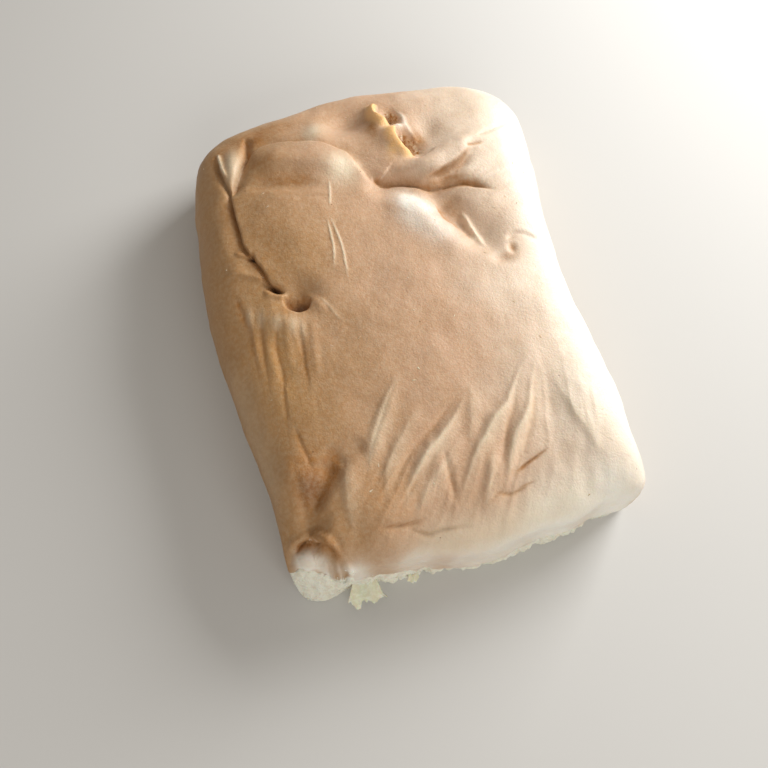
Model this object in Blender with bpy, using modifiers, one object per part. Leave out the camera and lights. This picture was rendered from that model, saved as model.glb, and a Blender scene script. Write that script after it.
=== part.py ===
"""A soft baked flat bread, puffed into a pillow and creased, as one closed solid.

Metres, +Z up. The long side lies along Y, the near side faces -Y, and the origin
is the middle of the base. Sizes below are in millimetres.
"""

import math
import random

import bmesh
import bpy
import numpy as np
from mathutils import Vector, noise

MM = 0.001
NAME = "coco_bread"

# The pillow: crown height, the height of its widest line, and how square its corners are, with
# the near left one and the near right one squarer than the others
CROWN = 34.0
WIDEST_AT = 14.0
SINK = 5.0
CORNER_POWER = 7.5
NEAR_CORNER_POWERS = (12.0, 17.0)
TOP_POWER = 3.1
BASE_POWER = 7.0

# Where the four sides run, from the near corner to the far one, and from left to right. The
# near side is pinched in at x, so deep and so wide, and the right side at a share of its length.
LEFT_SIDE = (-50.4, -49.8, -54.9, -55.0, -54.0)
RIGHT_SIDE = (56.6, 54.0, 51.3, 54.4, 57.6)
NEAR_SIDE = (-78.0, -77.4, -77.2, -76.4, -73.4)
FAR_SIDE = (71.6, 75.4, 78.0, 75.8, 70.6)
NEAR_PINCHES = ((-27.5, 2.9, 9.5), (-10.8, 2.2, 8.0), (22.0, 1.6, 8.5), (40.0, 2.6, 9.0))
RIGHT_PINCH = (-0.88, 2.9, 0.25)

# Where the skin has torn off the near left corner, as x with what is measured there: where it
# ends, how high the crumb stands there, where the crumb meets the board, and how high the skin
# ends along the rest of that side.
TORN_EDGE = ((-52, -67.5), (-49, -68.4), (-46, -69.2), (-44.3, -69.4), (-41.2, -70.6),
             (-38.3, -72.2), (-35.3, -73.8), (-32.3, -75.0), (-28.7, -76.0), (-22, -77.6))
CRUMB_HEIGHT = ((-52, 9.0), (-48, 11.5), (-44.5, 15.0), (-41.2, 15.0), (-38.3, 12.5), (-35.3, 9.5),
                (-32.3, 7.0), (-28.7, 5.0), (-20, 4.0))
CRUMB_FOOT = ((-50, -70.5), (-48.5, -71.5), (-46.8, -74.0), (-42.2, -76.4), (-33, -76.8), (-20, -78.4))
SKIN_ENDS = ((-40, 15), (-36, 14), (-32, 14), (-22, 13), (-16, 11), (-11, 6), (-5, 2.5),
             (2, 4.0), (8, 5.5), (20, 8), (28, 6), (36, 3), (46, 0.5))
CRUMB_ROUGHNESS = 0.6

# Flakes of torn skin that hang from its edge: root, tip, width at the root and at the tip
FLAKES = (
    ((-28.4, -73.8, 9.5), (-28.8, -80.9, 2.4), 4.6, 9.4),
    ((-15.0, -75.0, 9.0), (-15.2, -78.4, 6.8), 2.0, 3.2),
)
FLAKE_THICKNESS = 0.8

# The narrowest crease or ridge that the solid carries
FINEST = 1.1
CUTS = (110, 152, 40)
TRIANGLES = 9800
SEED = 11


def clear_scene():
    for old in list(bpy.data.objects):
        bpy.data.objects.remove(old)


def new_collection(name):
    collection = bpy.data.collections.new(name)
    bpy.context.scene.collection.children.link(collection)
    return collection


def baked_skin():
    """Pale tan crust with a dry, matt finish."""
    material = bpy.data.materials.new("baked skin")
    material.use_nodes = True
    shader = material.node_tree.nodes["Principled BSDF"]
    shader.inputs["Base Color"].default_value = (0.62, 0.40, 0.22, 1.0)
    shader.inputs["Roughness"].default_value = 0.62
    shader.inputs["Metallic"].default_value = 0.0
    return material


def smoothstep(low, high, value):
    share = np.clip((value - low) / (high - low), 0.0, 1.0)
    return share * share * (3.0 - 2.0 * share)


def through(values, share):
    """A smooth curve through evenly spaced values, read at share, from -1 to 1."""
    places = np.linspace(-1.0, 1.0, len(values))
    bend = np.polyfit(places, values, len(values) - 1)
    return np.polyval(bend, share)


def sliced_block(cuts):
    """A cube of side 2 whose faces are cut into a grid, with so many cuts along each axis."""
    bm = bmesh.new()
    bmesh.ops.create_cube(bm, size=2.0)
    for axis, count in enumerate(cuts):
        along = [e for e in bm.edges if abs(e.verts[0].co[axis] - e.verts[1].co[axis]) > 1e-5]
        bmesh.ops.subdivide_edges(bm, edges=along, cuts=count, use_grid_fill=True)
    mesh = bpy.data.meshes.new(NAME)
    bm.to_mesh(mesh)
    bm.free()
    return mesh


def places_of(mesh):
    places = np.empty(len(mesh.vertices) * 3)
    mesh.vertices.foreach_get("co", places)
    return places.reshape(-1, 3)


def move_to(mesh, places):
    mesh.vertices.foreach_set("co", places.ravel())
    mesh.update()


def normals_of(mesh):
    normals = np.empty(len(mesh.vertices) * 3)
    mesh.vertex_normals.foreach_get("vector", normals)
    return normals.reshape(-1, 3)


def pillow(block):
    """The block's points as a puffed pillow whose sides follow the bread's own outline."""
    a, b, c = block.T
    square = smoothstep(0.3, 1.0, np.abs(a)) * smoothstep(-0.5, -1.0, b)
    corner = CORNER_POWER + (np.where(a < 0, *NEAR_CORNER_POWERS) - CORNER_POWER) * square
    edge = (np.abs(a) ** corner + np.abs(b) ** corner) ** (1 / corner)
    power = np.where(c > 0, TOP_POWER, BASE_POWER)
    shrink = (edge ** power + np.abs(c) ** power) ** (-1 / power)
    u, v, w = a * shrink, b * shrink, c * shrink
    at, depth, wide = RIGHT_PINCH
    left = through(LEFT_SIDE, v)
    right = through(RIGHT_SIDE, v) - depth * np.exp(-((v - at) / wide) ** 2)
    near, far = through(NEAR_SIDE, u), through(FAR_SIDE, u)
    x = left + (right - left) * (u + 1) / 2
    near = near + sum(depth * np.exp(-((x - at) / wide) ** 2) for at, depth, wide in NEAR_PINCHES)
    y = near + (far - near) * (v + 1) / 2
    z = WIDEST_AT + w * np.where(w > 0, CROWN - WIDEST_AT, WIDEST_AT + SINK)
    return np.stack([x, y, z], axis=1)


def wander(places, size, seed):
    """Smooth noise between about -1 and 1, with lumps of the given size."""
    shift = Vector((seed * 7.3, seed * 3.1, seed * 5.7))
    return np.array([noise.noise(Vector(p) / size + shift) for p in places])


def smooth_path(points, steps=7):
    """A Catmull-Rom curve through a few points of the plan."""
    knots = np.array([points[0], *points, points[-1]], float)
    share = np.linspace(0.0, 1.0, steps, endpoint=False)[:, None]
    runs = []
    for before, start, end, after in zip(knots, knots[1:], knots[2:], knots[3:]):
        runs.append(0.5 * (2 * start + (end - before) * share
                           + (2 * before - 5 * start + 4 * end - after) * share ** 2
                           + (3 * start - before - 3 * end + after) * share ** 3))
    return np.vstack([*runs, knots[-1:]])


class Skin:
    """Adds up how far each point of the skin stands out, dips or slides sideways."""

    def __init__(self, places):
        self.plan = places[:, :2]
        self.rise = np.zeros(len(places))
        self.slide = np.zeros((len(places), 2))
        self.wobble = 0.45 * wander(places * (1.0, 1.0, 0.0), 7.0, SEED + 20)

    def swell(self, centre, radii, rise, turn=0.0):
        """A soft mound, or a hollow where rise is negative."""
        aside = self.plan - centre
        angle = math.radians(turn)
        across = aside @ (math.cos(angle), math.sin(angle))
        along = aside @ (-math.sin(angle), math.cos(angle))
        self.rise += rise * np.exp(-(across / radii[0]) ** 2 - (along / radii[1]) ** 2)

    def measure(self, points, reach):
        """Indices near a path, their distance to its left, their share of its length, its heading."""
        path = smooth_path(points)
        starts = path[:-1]
        runs = np.diff(path, axis=0)
        low, high = path.min(axis=0) - reach, path.max(axis=0) + reach
        close = np.flatnonzero(((self.plan > low) & (self.plan < high)).all(axis=1))
        offset = self.plan[close][:, None, :] - starts[None, :, :]
        along = np.clip((offset * runs).sum(axis=2) / (runs ** 2).sum(axis=1), 0.0, 1.0)
        offset -= along[:, :, None] * runs
        nearest = (offset ** 2).sum(axis=2).argmin(axis=1)
        rows = np.arange(len(close))
        offset, along, run = offset[rows, nearest], along[rows, nearest], runs[nearest]
        heading = run / np.linalg.norm(run, axis=1)[:, None]
        side = np.sign(run[:, 0] * offset[:, 1] - run[:, 1] * offset[:, 0])
        left = side * np.linalg.norm(offset, axis=1)
        return close, left, (nearest + along) / len(runs), heading

    def fold(self, points, rise, left, right=None, fade=0.3):
        """A ridge along a path, or a crease where rise is negative, left and right mm wide."""
        left, right = max(left, FINEST), max(right or left, FINEST)
        close, away, share, _ = self.measure(points, 4 * max(left, right))
        ends = smoothstep(0.0, fade, share) * smoothstep(0.0, fade, 1.0 - share)
        away = away + self.wobble[close]
        side = np.where(away > 0, left, right) * (0.55 + 0.45 * ends)
        self.rise[close] += rise * ends * np.exp(-(away / side) ** 2)

    def step(self, points, rise, width, reach=3.0, fade=0.3):
        """Skin that stands higher on the path's left than on its right."""
        close, away, share, _ = self.measure(points, 2.5 * reach * width)
        ends = smoothstep(0.0, fade, share) * smoothstep(0.0, fade, 1.0 - share)
        settle = np.exp(-(away / (reach * width)) ** 2)
        self.rise[close] += rise * ends * settle * np.tanh(away / width)

    def overhang(self, points, shift, width, fade=0.2):
        """Pushes the skin on the path's left out over the crease."""
        close, away, share, heading = self.measure(points, 5 * width)
        ends = smoothstep(0.0, fade, share) * smoothstep(0.0, fade, 1.0 - share)
        push = shift * ends * np.exp(-((away - width) / width) ** 2)
        self.slide[close] += push[:, None] * np.stack([heading[:, 1], -heading[:, 0]], axis=1)


def broad_forms(skin):
    """The bulges, hollows and valleys that give the bread its uneven top."""
    skin.swell((-26, 27), (12, 16), 1.6)
    skin.swell((-19, 51), (15, 6.5), 1.4, turn=-12)
    skin.fold([(-34, 51), (-24, 48.5), (-14.5, 45), (-6, 41)], 1.8, 5.5, 3.8)
    skin.fold([(-36.5, 43.5), (-30, 41), (-22, 38.2), (-12, 36.6)], -0.9, 2.4)
    skin.swell((-7.7, 43.9), (4.5, 5.5), 1.2)
    skin.swell((-1.4, 62.7), (8.8, 6.6), -3.6)
    skin.swell((-11, 58.5), (4, 6), 1.6, turn=-20)
    skin.swell((8.0, 53.0), (4.0, 10), 1.5, turn=8)
    skin.swell((21.5, 50.5), (4.6, 8), -2.0, turn=-25)
    skin.fold([(0.3, 40.0), (1.8, 34.0), (7.8, 31.6), (17.3, 27.5), (26.4, 27.6), (35.5, 24.0)],
              -2.0, 5.0, 3.6)
    skin.fold([(6.3, 37.5), (14.3, 36.5), (21.3, 38.5), (27.3, 41.2), (33.3, 43.6), (42.5, 46.5)],
              2.0, 3.4, 2.6)
    skin.fold([(14.3, 31), (20, 23.5), (23.5, 16.2), (28, 9.7), (33, 2.6)], -3.4, 6.0, 5.0)
    skin.fold([(3.6, 30.0), (10.4, 20.9), (17.6, 10.4), (24, 3.5)], 1.0, 4.5)
    skin.swell((43.5, 19), (7, 14), 1.2)
    skin.swell((-28.3, 2.6), (5.0, 4.2), -2.6)
    skin.swell((-35.2, -3.6), (6, 4.5), 1.3, turn=-30)
    skin.swell((-45.5, 23.4), (4, 22), 0.8)
    valley = [(-29.4, -41.0), (-30.2, -47.0), (-32.8, -51.4), (-36.6, -55.2), (-37.8, -58.6),
              (-37.0, -62.0), (-35.6, -65.6)]
    skin.fold(valley, -3.0, 3.8, 3.2, fade=0.25)
    skin.step(valley, 0.9, 3.0, reach=2.2)
    skin.fold([(-19.7, -43.9), (-25.2, -45.6), (-29.6, -47.4)], -1.0, 2.4)
    skin.swell((-40.6, -48.4), (5.0, 7), 1.5)
    skin.swell((-20.7, -63.8), (9, 9), 1.2)
    skin.swell((31.4, -43.8), (5, 9), -1.4, turn=-18)
    skin.swell((42.6, -51.7), (7, 15), 0.8)
    skin.swell((8.3, -15.9), (24, 14), 0.8)


def long_crease(skin):
    """The deep crease on the left, the pinched flap at its far end and the curl at its near end."""
    crease = [(-41.9, 43.3), (-41.6, 35.5), (-41.2, 27.6), (-40.6, 22.7), (-38.9, 18.3),
              (-37.0, 13.6), (-35.4, 8.4), (-31.7, 4.7)]
    skin.fold(crease, -1.0, 0.7, 3.6, fade=0.1)
    skin.fold(crease, -1.8, 0.5, 0.9, fade=0.07)
    skin.overhang(crease, 0.6, 1.5, fade=0.1)
    skin.swell((-39.2, 18.6), (1.2, 0.8), -1.4)
    skin.swell((-34.5, 7.0), (2.4, 1.1), -2.2, turn=-38)
    skin.fold([(-44.1, 21.5), (-40.9, 20.1), (-38.5, 18.7)], 0.7, 1.3, 0.6)
    skin.fold([(-48.6, 15.7), (-43.4, 14.2), (-39.0, 12.0), (-36.3, 9.8)], 0.8, 2.8, 1.2)
    skin.fold([(-38.3, 7.2), (-34.5, 4.9), (-30.9, 2.9)], 0.7, 1.0, 1.2)
    groove_left = [(-44.0, 61.0), (-43.6, 54.0), (-42.7, 48.1), (-42.0, 44.2), (-41.6, 40.4)]
    groove_right = [(-33.1, 65.2), (-34.6, 58.8), (-35.7, 54.0), (-37.6, 49.4), (-39.5, 45.5),
                    (-41.1, 40.4)]
    skin.fold(groove_left, -1.5, 0.6, 0.9, fade=0.2)
    skin.fold(groove_right, -2.1, 2.2, 0.7, fade=0.2)
    skin.swell((-39.0, 52.5), (2.4, 6.5), 1.2, turn=-8)
    skin.fold([(-42.8, 61.0), (-42.2, 55.0), (-41.3, 48.2)], 0.9, 0.6, 0.6)
    skin.fold([(-32.6, 4.4), (-31.6, 0.6), (-29.6, -1.2), (-27.2, -1.0), (-24.9, 1.6)],
              -2.6, 2.4, 0.8, fade=0.3)
    skin.fold([(-27.3, 4.4), (-25.3, 1.2), (-23.5, -1.8), (-21.5, -5.0)], 0.6, 1.4, 1.6)


def far_folds(skin):
    """The arc, the main fold, the burst blister and the short creases of the far third."""
    skin.fold([(-38.2, 49.4), (-33.7, 55.9), (-28.2, 59.1), (-21.4, 57.6), (-14.1, 54.7),
               (-8.7, 51.8), (-4.1, 48.3), (-1.9, 43.0), (-0.1, 38.0), (1.9, 34.2)],
              -0.7, 2.0, 0.6, fade=0.12)
    skin.step([(2.3, 34.2), (-0.1, 38.0), (-1.9, 43.0), (-4.5, 48.9)], 0.6, 1.4)
    skin.fold([(1.7, 37.5), (2.3, 35.4), (4.5, 33.8), (8.4, 33.3), (12.7, 31.7), (17.9, 29.2),
               (22.6, 29.2), (27.6, 28.8), (31.6, 27.1), (36.5, 23.8)],
              -1.8, 1.9, 0.7, fade=0.14)
    upper_fold = [(15.2, 31.8), (19.4, 33.0), (23.4, 34.3), (27.6, 36.3), (31.8, 39.0), (35.0, 41.6)]
    skin.step(upper_fold, 1.5, 0.9, reach=3.6)
    skin.fold(upper_fold, -0.9, 0.8, 2.4)
    skin.fold([(9.8, 66.6), (8.3, 64.0), (8.2, 60.3), (9.3, 57.5), (11.4, 55.0)],
              2.0, 0.7, 2.2, fade=0.2)
    skin.fold([(12.2, 54.0), (11.2, 50.5), (11.7, 47.4), (13.2, 44.5), (15.6, 41.4)],
              2.2, 0.7, 2.4, fade=0.2)
    skin.swell((12.4, 59.4), (2.3, 3.3), -3.4, turn=14)
    skin.swell((15.3, 46.8), (2.5, 4.6), -3.6, turn=18)
    skin.swell((13.4, 53.8), (1.8, 1.3), 1.4)
    bank = [(17.2, 26.6), (17.7, 22.6), (18.6, 18.6), (20.8, 15.2), (23.4, 11.4)]
    skin.step(bank, -0.7, 1.0, reach=2.6)
    skin.fold([(15.7, 40.6), (18.7, 41.4), (22.8, 42.2)], -0.6, 0.6)
    skin.fold([(31.0, 40.6), (34.5, 41.4), (38.4, 42.6)], -0.35, 0.8)
    skin.fold([(35.9, 44.2), (42.6, 47.6), (50.3, 51.6)], -0.5, 0.9)
    skin.fold([(24.2, 20.2), (25.2, 15.8), (26.8, 10.6), (28.3, 6.0)], 0.9, 0.8, 0.9)
    skin.fold([(22.6, 18.6), (23.6, 14.2), (25.3, 9.6)], -0.5, 1.3)
    skin.fold([(34.2, 6.8), (39.4, 8.3), (45.2, 5.6)], -0.6, 0.9)
    skin.swell((35.5, 3.8), (1.3, 2.0), -0.9)
    skin.swell((31.6, 0.8), (3.0, 1.8), -1.1)


def near_wrinkles(skin):
    """The wrinkle fans of the near half and the creases along the near edge."""
    for wrinkle in ([(-46.6, 10.4), (-44.9, 2.3), (-43.8, -5.3), (-44.2, -24.3)],
                    [(-38.7, 3.4), (-40.6, -4.9), (-41.2, -12.2), (-42.4, -26.3)],
                    [(-35.1, -2.5), (-37.8, -11.5), (-37.6, -20.1), (-40.4, -42)],
                    [(-29.7, -4.6), (-30.7, -14.0), (-31.2, -27.0)],
                    [(-37.6, -34.6), (-36.4, -41.1), (-34.9, -48.6)]):
        skin.fold(wrinkle, -0.45, 0.5, 0.7, fade=0.4)
    for ridge, rise in (([(-6.2, -25.9), (-14.1, -37.9), (-18.4, -44.9), (-22, -53.8)], 1.2),
                        ([(-2.7, -36.4), (-10.9, -45.3), (-15.9, -52.3), (-18.9, -62)], 0.7),
                        ([(10.3, -36.4), (0.8, -46.4), (-7.4, -52.8), (-15.1, -63)], 1.3),
                        ([(9.5, -43.8), (-1.3, -54.2), (-8.3, -60.4), (-13.2, -67)], 0.7),
                        ([(11.2, -33.9), (8.9, -43.4), (6.5, -52.4)], 0.5),
                        ([(29.8, -28.8), (18.9, -42.2), (12.7, -47.6), (6.4, -55.2), (-2.8, -68)], 1.3),
                        ([(31.6, -29.3), (24.6, -44.4), (19.4, -50.8), (15.4, -57.8), (12.2, -65)], 1.2),
                        ([(13, -50.8), (9.5, -60.8), (5.0, -69.6)], 0.7),
                        ([(33.4, -36), (37.5, -51.8), (40.2, -64)], 0.5),
                        ([(-25.3, -45.9), (-27.7, -55.9), (-28.3, -66.8)], 0.5)):
        skin.fold(ridge, rise, 2.8, 1.4, fade=0.45)
    for crease in ([(-7.6, -28.5), (-14.6, -38.9), (-19.0, -45.9), (-22.5, -54.4)],
                   [(7.3, -36.4), (-2.6, -45.2), (-9.5, -49.9), (-16.1, -57)],
                   [(6.7, -42.6), (-3.8, -52.0), (-10.7, -57.8), (-18.1, -65)],
                   [(27.4, -31.6), (20.8, -42.6), (17.1, -50.2), (14.4, -55.3), (5.4, -68)],
                   [(30.2, -34.5), (24.9, -47.3), (21.7, -52.9), (14.2, -63.6)],
                   [(-0.7, -50.2), (-1.0, -58.3), (-0.8, -65.6)]):
        skin.fold(crease, -0.6, 1.1, 1.0, fade=0.4)
    for crease, rise in (([(28, -56.0), (22.3, -58.3), (18.8, -59.8), (13.6, -62.2)], -0.9),
                         ([(23.8, -63.2), (17.4, -64.7), (13.8, -65.9), (10.2, -65.1), (5.6, -67.8)], -0.5),
                         ([(-23.1, -65.8), (-15.8, -67.1), (-8.4, -66.3)], -0.7),
                         ([(-15.4, -67.4), (-10.2, -70.2), (-4.8, -70.3), (4.1, -71)], -0.8)):
        skin.fold(crease, rise, 0.5, 0.8, fade=0.4)


def tear_corner(places):
    """Lowers the near left corner to the sloping crumb, and gives where the crumb is."""
    x, y, z = places.T
    torn_at, height, foot = (np.interp(x, *np.array(table, float).T)
                             for table in (TORN_EDGE, CRUMB_HEIGHT, CRUMB_FOOT))
    flat = places * (1.0, 1.0, 0.0)
    past = torn_at - y + 0.5 * wander(flat, 3.0, SEED + 12) + 0.25 * wander(flat, 1.4, SEED + 13)
    slope = 1.0 - np.clip(past / np.maximum(torn_at - foot, 0.5), 0.0, 1.0) ** 1.35
    bank = 1.25 + 7.0 * smoothstep(-40.0, -29.0, x)
    face = 2.5 + height * slope + bank * np.maximum(-past, 0.0)
    bare = smoothstep(-0.3, 0.4, past) * smoothstep(-27.0, -32.0, x)
    crags = wander(flat, 3.0, SEED) + 0.6 * wander(flat, 1.6, SEED + 4)
    face = np.maximum(face + CRUMB_ROUGHNESS * crags * bare, 1.5)
    face += 40.0 * smoothstep(-34.0, -27.0, x)
    lowered = z * (1.0 + (np.maximum(z, WIDEST_AT) / face) ** 6) ** (-1 / 6)
    return np.stack([x, y, lowered], axis=1), bare


def crumb_strip(places, normals):
    """How far the bare strip of crumb under the skin's near edge stands out, and where it is."""
    x, y, z = places.T
    frayed = 0.8 * wander(places, 2.6, SEED + 8) + 0.5 * wander(places, 7.0, SEED + 11)
    ends_at = np.interp(x, *np.array(SKIN_ENDS, float).T) + frayed
    faces_near = smoothstep(0.1, 0.45, -normals[:, 1]) * smoothstep(-60.0, -66.0, y)
    faces_near *= smoothstep(-40.0, -35.0, x)
    bare = faces_near * smoothstep(0.4, -0.4, z - ends_at)
    skin_end = faces_near * np.exp(-((z - ends_at - 1.3) / 1.1) ** 2)
    return 1.1 * bare + 0.5 * skin_end, bare


def knob(skin):
    """The rolled end of the torn skin on the near left corner, under an arch of skin and a slit."""
    skin.fold([(-46.8, -65.5), (-44.6, -63.4), (-42.0, -62.4), (-39.2, -62.8), (-36.6, -64.7),
               (-34.6, -67.5), (-32.9, -71.0)], 0.8, 1.3, 1.1, fade=0.25)
    above = [(-41.8, -60.6), (-38.6, -61.4), (-36.0, -63.2), (-33.6, -66.9), (-32.0, -70.4)]
    skin.fold(above, -0.8, 1.4, 0.8, fade=0.3)
    slit = [(-44.8, -66.2), (-43.3, -64.9), (-41.6, -64.4), (-39.3, -64.9), (-37.6, -66.4),
            (-35.4, -68.9), (-33.8, -71.0)]
    skin.fold(slit, -1.8, 1.0, fade=0.2)
    skin.swell((-41.4, -67.4), (3.0, 2.3), 1.9, turn=15)
    roll = [(-41.6, -67.6), (-39.4, -68.2), (-37.4, -69.6), (-35.7, -71.6), (-34.0, -72.8),
            (-31.8, -73.8), (-29.0, -74.6)]
    skin.fold(roll, 1.1, 1.3, 1.4, fade=0.2)


def fold_the_skin(mesh):
    """Shapes the pillow in two passes, the broad forms first and the creases on top of them."""
    places, normals = places_of(mesh), normals_of(mesh)
    forms = Skin(places)
    broad_forms(forms)
    upper = smoothstep(0.0, 0.55, normals[:, 2])
    lumps = 0.7 * wander(places, 24.0, SEED + 5) + 0.4 * wander(places, 9.0, SEED + 6)
    places, bare = tear_corner(places + normals * (forms.rise * upper + lumps)[:, None])
    move_to(mesh, places)

    normals = normals_of(mesh)
    folds = Skin(places)
    long_crease(folds)
    far_folds(folds)
    near_wrinkles(folds)
    knob(folds)
    upper = smoothstep(0.1, 0.5, normals[:, 2])
    strip, bare_strip = crumb_strip(places, normals)
    strip += CRUMB_ROUGHNESS * bare_strip * wander(places, 3.0, SEED)
    rise = folds.rise * upper + strip * (1.0 - bare)
    places = places + normals * rise[:, None]
    places[:, :2] += folds.slide * upper[:, None]
    move_to(mesh, places)


def cut_base(mesh):
    """Cuts the underside flat at height 0 and closes it."""
    bm = bmesh.new()
    bm.from_mesh(mesh)
    everything = bm.verts[:] + bm.edges[:] + bm.faces[:]
    cut = bmesh.ops.bisect_plane(bm, geom=everything, dist=1e-6, plane_co=(0, 0, 0),
                                 plane_no=(0, 0, 1), clear_inner=True)
    rim = [e for e in cut["geom_cut"] if isinstance(e, bmesh.types.BMEdge)]
    bmesh.ops.holes_fill(bm, edges=rim)
    bmesh.ops.triangulate(bm, faces=bm.faces[:])
    bmesh.ops.recalc_face_normals(bm, faces=bm.faces[:])
    bm.to_mesh(mesh)
    bm.free()


def apply_modifiers(obj):
    graph = bpy.context.evaluated_depsgraph_get()
    obj.data = bpy.data.meshes.new_from_object(obj.evaluated_get(graph))
    obj.data.name = NAME
    obj.modifiers.clear()


def thin_out(obj):
    """Keeps the triangles where the surface bends, and sets the base exactly flat again."""
    thinner = obj.modifiers.new("fewer triangles", "DECIMATE")
    thinner.ratio = TRIANGLES / len(obj.data.polygons)
    apply_modifiers(obj)
    places = places_of(obj.data)
    on_base = places[:, 2] < 0.08
    places[on_base, 2] = 0.0
    move_to(obj.data, places)


def flake(index, root, tip, root_width, tip_width, collection):
    """A thin curled scrap of skin, ragged at its tip, rooted in the crumb."""
    draw = random.Random(SEED + 20 + index)
    root, tip = np.array(root), np.array(tip)
    across = np.cross(tip - root, (0, 0, 1))
    across /= np.linalg.norm(across)
    bm = bmesh.new()
    bmesh.ops.create_grid(bm, x_segments=4, y_segments=4, size=1.0)
    for vert in bm.verts:
        along = (vert.co.y + 1) / 2
        width = root_width + (tip_width - root_width) * along
        ragged = draw.uniform(-0.12, 0.12) * along
        place = root + (tip - root) * (along + ragged)
        place = place + across * vert.co.x * width / 2
        place[2] += 0.7 * math.sin(math.pi * along) + 0.25 * vert.co.x ** 2
        vert.co = place
    mesh = bpy.data.meshes.new("flake")
    bm.to_mesh(mesh)
    bm.free()
    obj = bpy.data.objects.new(f"flake_{index}", mesh)
    obj.hide_render = True
    obj.display_type = "WIRE"
    collection.objects.link(obj)
    wall = obj.modifiers.new("thickness", "SOLIDIFY")
    wall.thickness = FLAKE_THICKNESS
    wall.offset = 0.0


def join_flakes(obj):
    """Fuses the flakes to the bread with one Boolean union, then removes them."""
    flakes = new_collection("flakes")
    for index, sizes in enumerate(FLAKES):
        flake(index, *sizes, flakes)
    union = obj.modifiers.new("join flakes", "BOOLEAN")
    union.operation = "UNION"
    union.operand_type = "COLLECTION"
    union.collection = flakes
    union.solver = "EXACT"
    apply_modifiers(obj)
    for scrap in list(flakes.objects):
        bpy.data.objects.remove(scrap)
    bpy.data.collections.remove(flakes)


def settle(obj):
    """Puts the origin at the middle of the base and turns millimetres into metres."""
    places = places_of(obj.data)
    middle = (places.min(axis=0) + places.max(axis=0)) / 2
    middle[2] = 0.0
    move_to(obj.data, (places - middle) * MM)


def main():
    clear_scene()
    parts = new_collection(NAME)
    mesh = sliced_block(CUTS)
    move_to(mesh, pillow(places_of(mesh)))
    fold_the_skin(mesh)
    cut_base(mesh)
    bread = bpy.data.objects.new(NAME, mesh)
    parts.objects.link(bread)
    thin_out(bread)
    join_flakes(bread)
    settle(bread)
    bread.data.materials.clear()
    bread.data.materials.append(baked_skin())
    bread.data.shade_smooth()


if __name__ == "__main__":
    main()
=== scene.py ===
import math

import bmesh
import bpy
import numpy as np
from mathutils import Matrix, Vector, noise


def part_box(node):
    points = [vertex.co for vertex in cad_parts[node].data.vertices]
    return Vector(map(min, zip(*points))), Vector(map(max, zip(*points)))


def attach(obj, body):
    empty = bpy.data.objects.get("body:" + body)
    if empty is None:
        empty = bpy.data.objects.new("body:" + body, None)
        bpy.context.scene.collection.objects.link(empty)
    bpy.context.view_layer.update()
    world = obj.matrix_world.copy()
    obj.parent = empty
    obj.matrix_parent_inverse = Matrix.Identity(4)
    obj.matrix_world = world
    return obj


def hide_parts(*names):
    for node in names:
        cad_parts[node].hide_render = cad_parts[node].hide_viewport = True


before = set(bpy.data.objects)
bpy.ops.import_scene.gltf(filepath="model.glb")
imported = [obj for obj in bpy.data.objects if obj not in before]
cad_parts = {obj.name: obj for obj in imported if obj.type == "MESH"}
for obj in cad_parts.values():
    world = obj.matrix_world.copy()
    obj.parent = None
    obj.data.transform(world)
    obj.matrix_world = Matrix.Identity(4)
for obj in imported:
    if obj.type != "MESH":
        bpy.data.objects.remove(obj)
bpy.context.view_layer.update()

# The bread is a slab of soft white dough, puffed up in the oven and sunk again as it cooled,
# so that its thin skin lies in folds over the crumb. It starts as a block of fine squares,
# is puffed out to a pillow in millimetres, and is then creased the way the skin was.
MM = 0.001
SEED = 11
SKIN_SQUARES = (310, 440, 90)
SKIN_TRIANGLES = 190000
# The pillow's highest point, the height where it is widest, and how far below the board it
# reaches before its base is cut flat.
CROWN = 34.0
WIDEST_AT = 14.0
SINK = 5.0
# How square its corners are from above, with the near left and near right ones squarer, and
# how square its rims are from the side, over and under its widest height.
CORNER_POWER = 7.5
NEAR_CORNER_POWERS = (12.0, 17.0)
TOP_POWER = 3.1
BASE_POWER = 7.0
# Each side is a smooth curve through evenly spaced values, and each pinch draws a side in: at
# so many mm along it, so deep and so wide, or for the right side at such a share of it.
LEFT_SIDE = (-50.4, -49.8, -54.9, -55.0, -54.0)
RIGHT_SIDE = (56.6, 54.0, 51.3, 54.4, 57.6)
NEAR_SIDE = (-78.0, -77.4, -77.2, -76.4, -73.4)
FAR_SIDE = (71.6, 75.4, 78.0, 75.8, 70.6)
NEAR_PINCHES = ((-27.5, 2.9, 9.5), (-10.8, 2.2, 8.0), (22.0, 1.6, 8.5), (40.0, 2.6, 9.0))
RIGHT_PINCH = (-0.88, 2.9, 0.25)


def dough_block_tree():
    """A block of side 2 made of fine squares, so many along each side."""
    tree = bpy.data.node_groups.new("dough block", "GeometryNodeTree")
    tree.interface.new_socket("Block", in_out="OUTPUT", socket_type="NodeSocketGeometry")
    cube = tree.nodes.new("GeometryNodeMeshCube")
    cube.inputs["Size"].default_value = (2.0, 2.0, 2.0)
    inside = tree.nodes.new("NodeGroupInput")
    outside = tree.nodes.new("NodeGroupOutput")
    for side, squares in zip("XYZ", SKIN_SQUARES):
        name = f"Squares {side}"
        size = tree.interface.new_socket(name, in_out="INPUT", socket_type="NodeSocketInt")
        size.default_value = squares
        more = tree.nodes.new("ShaderNodeMath")
        more.inputs[1].default_value = 1.0
        tree.links.new(inside.outputs[name], more.inputs[0])
        tree.links.new(more.outputs[0], cube.inputs[f"Vertices {side}"])
    tree.links.new(cube.outputs["Mesh"], outside.inputs["Block"])
    return tree


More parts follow.
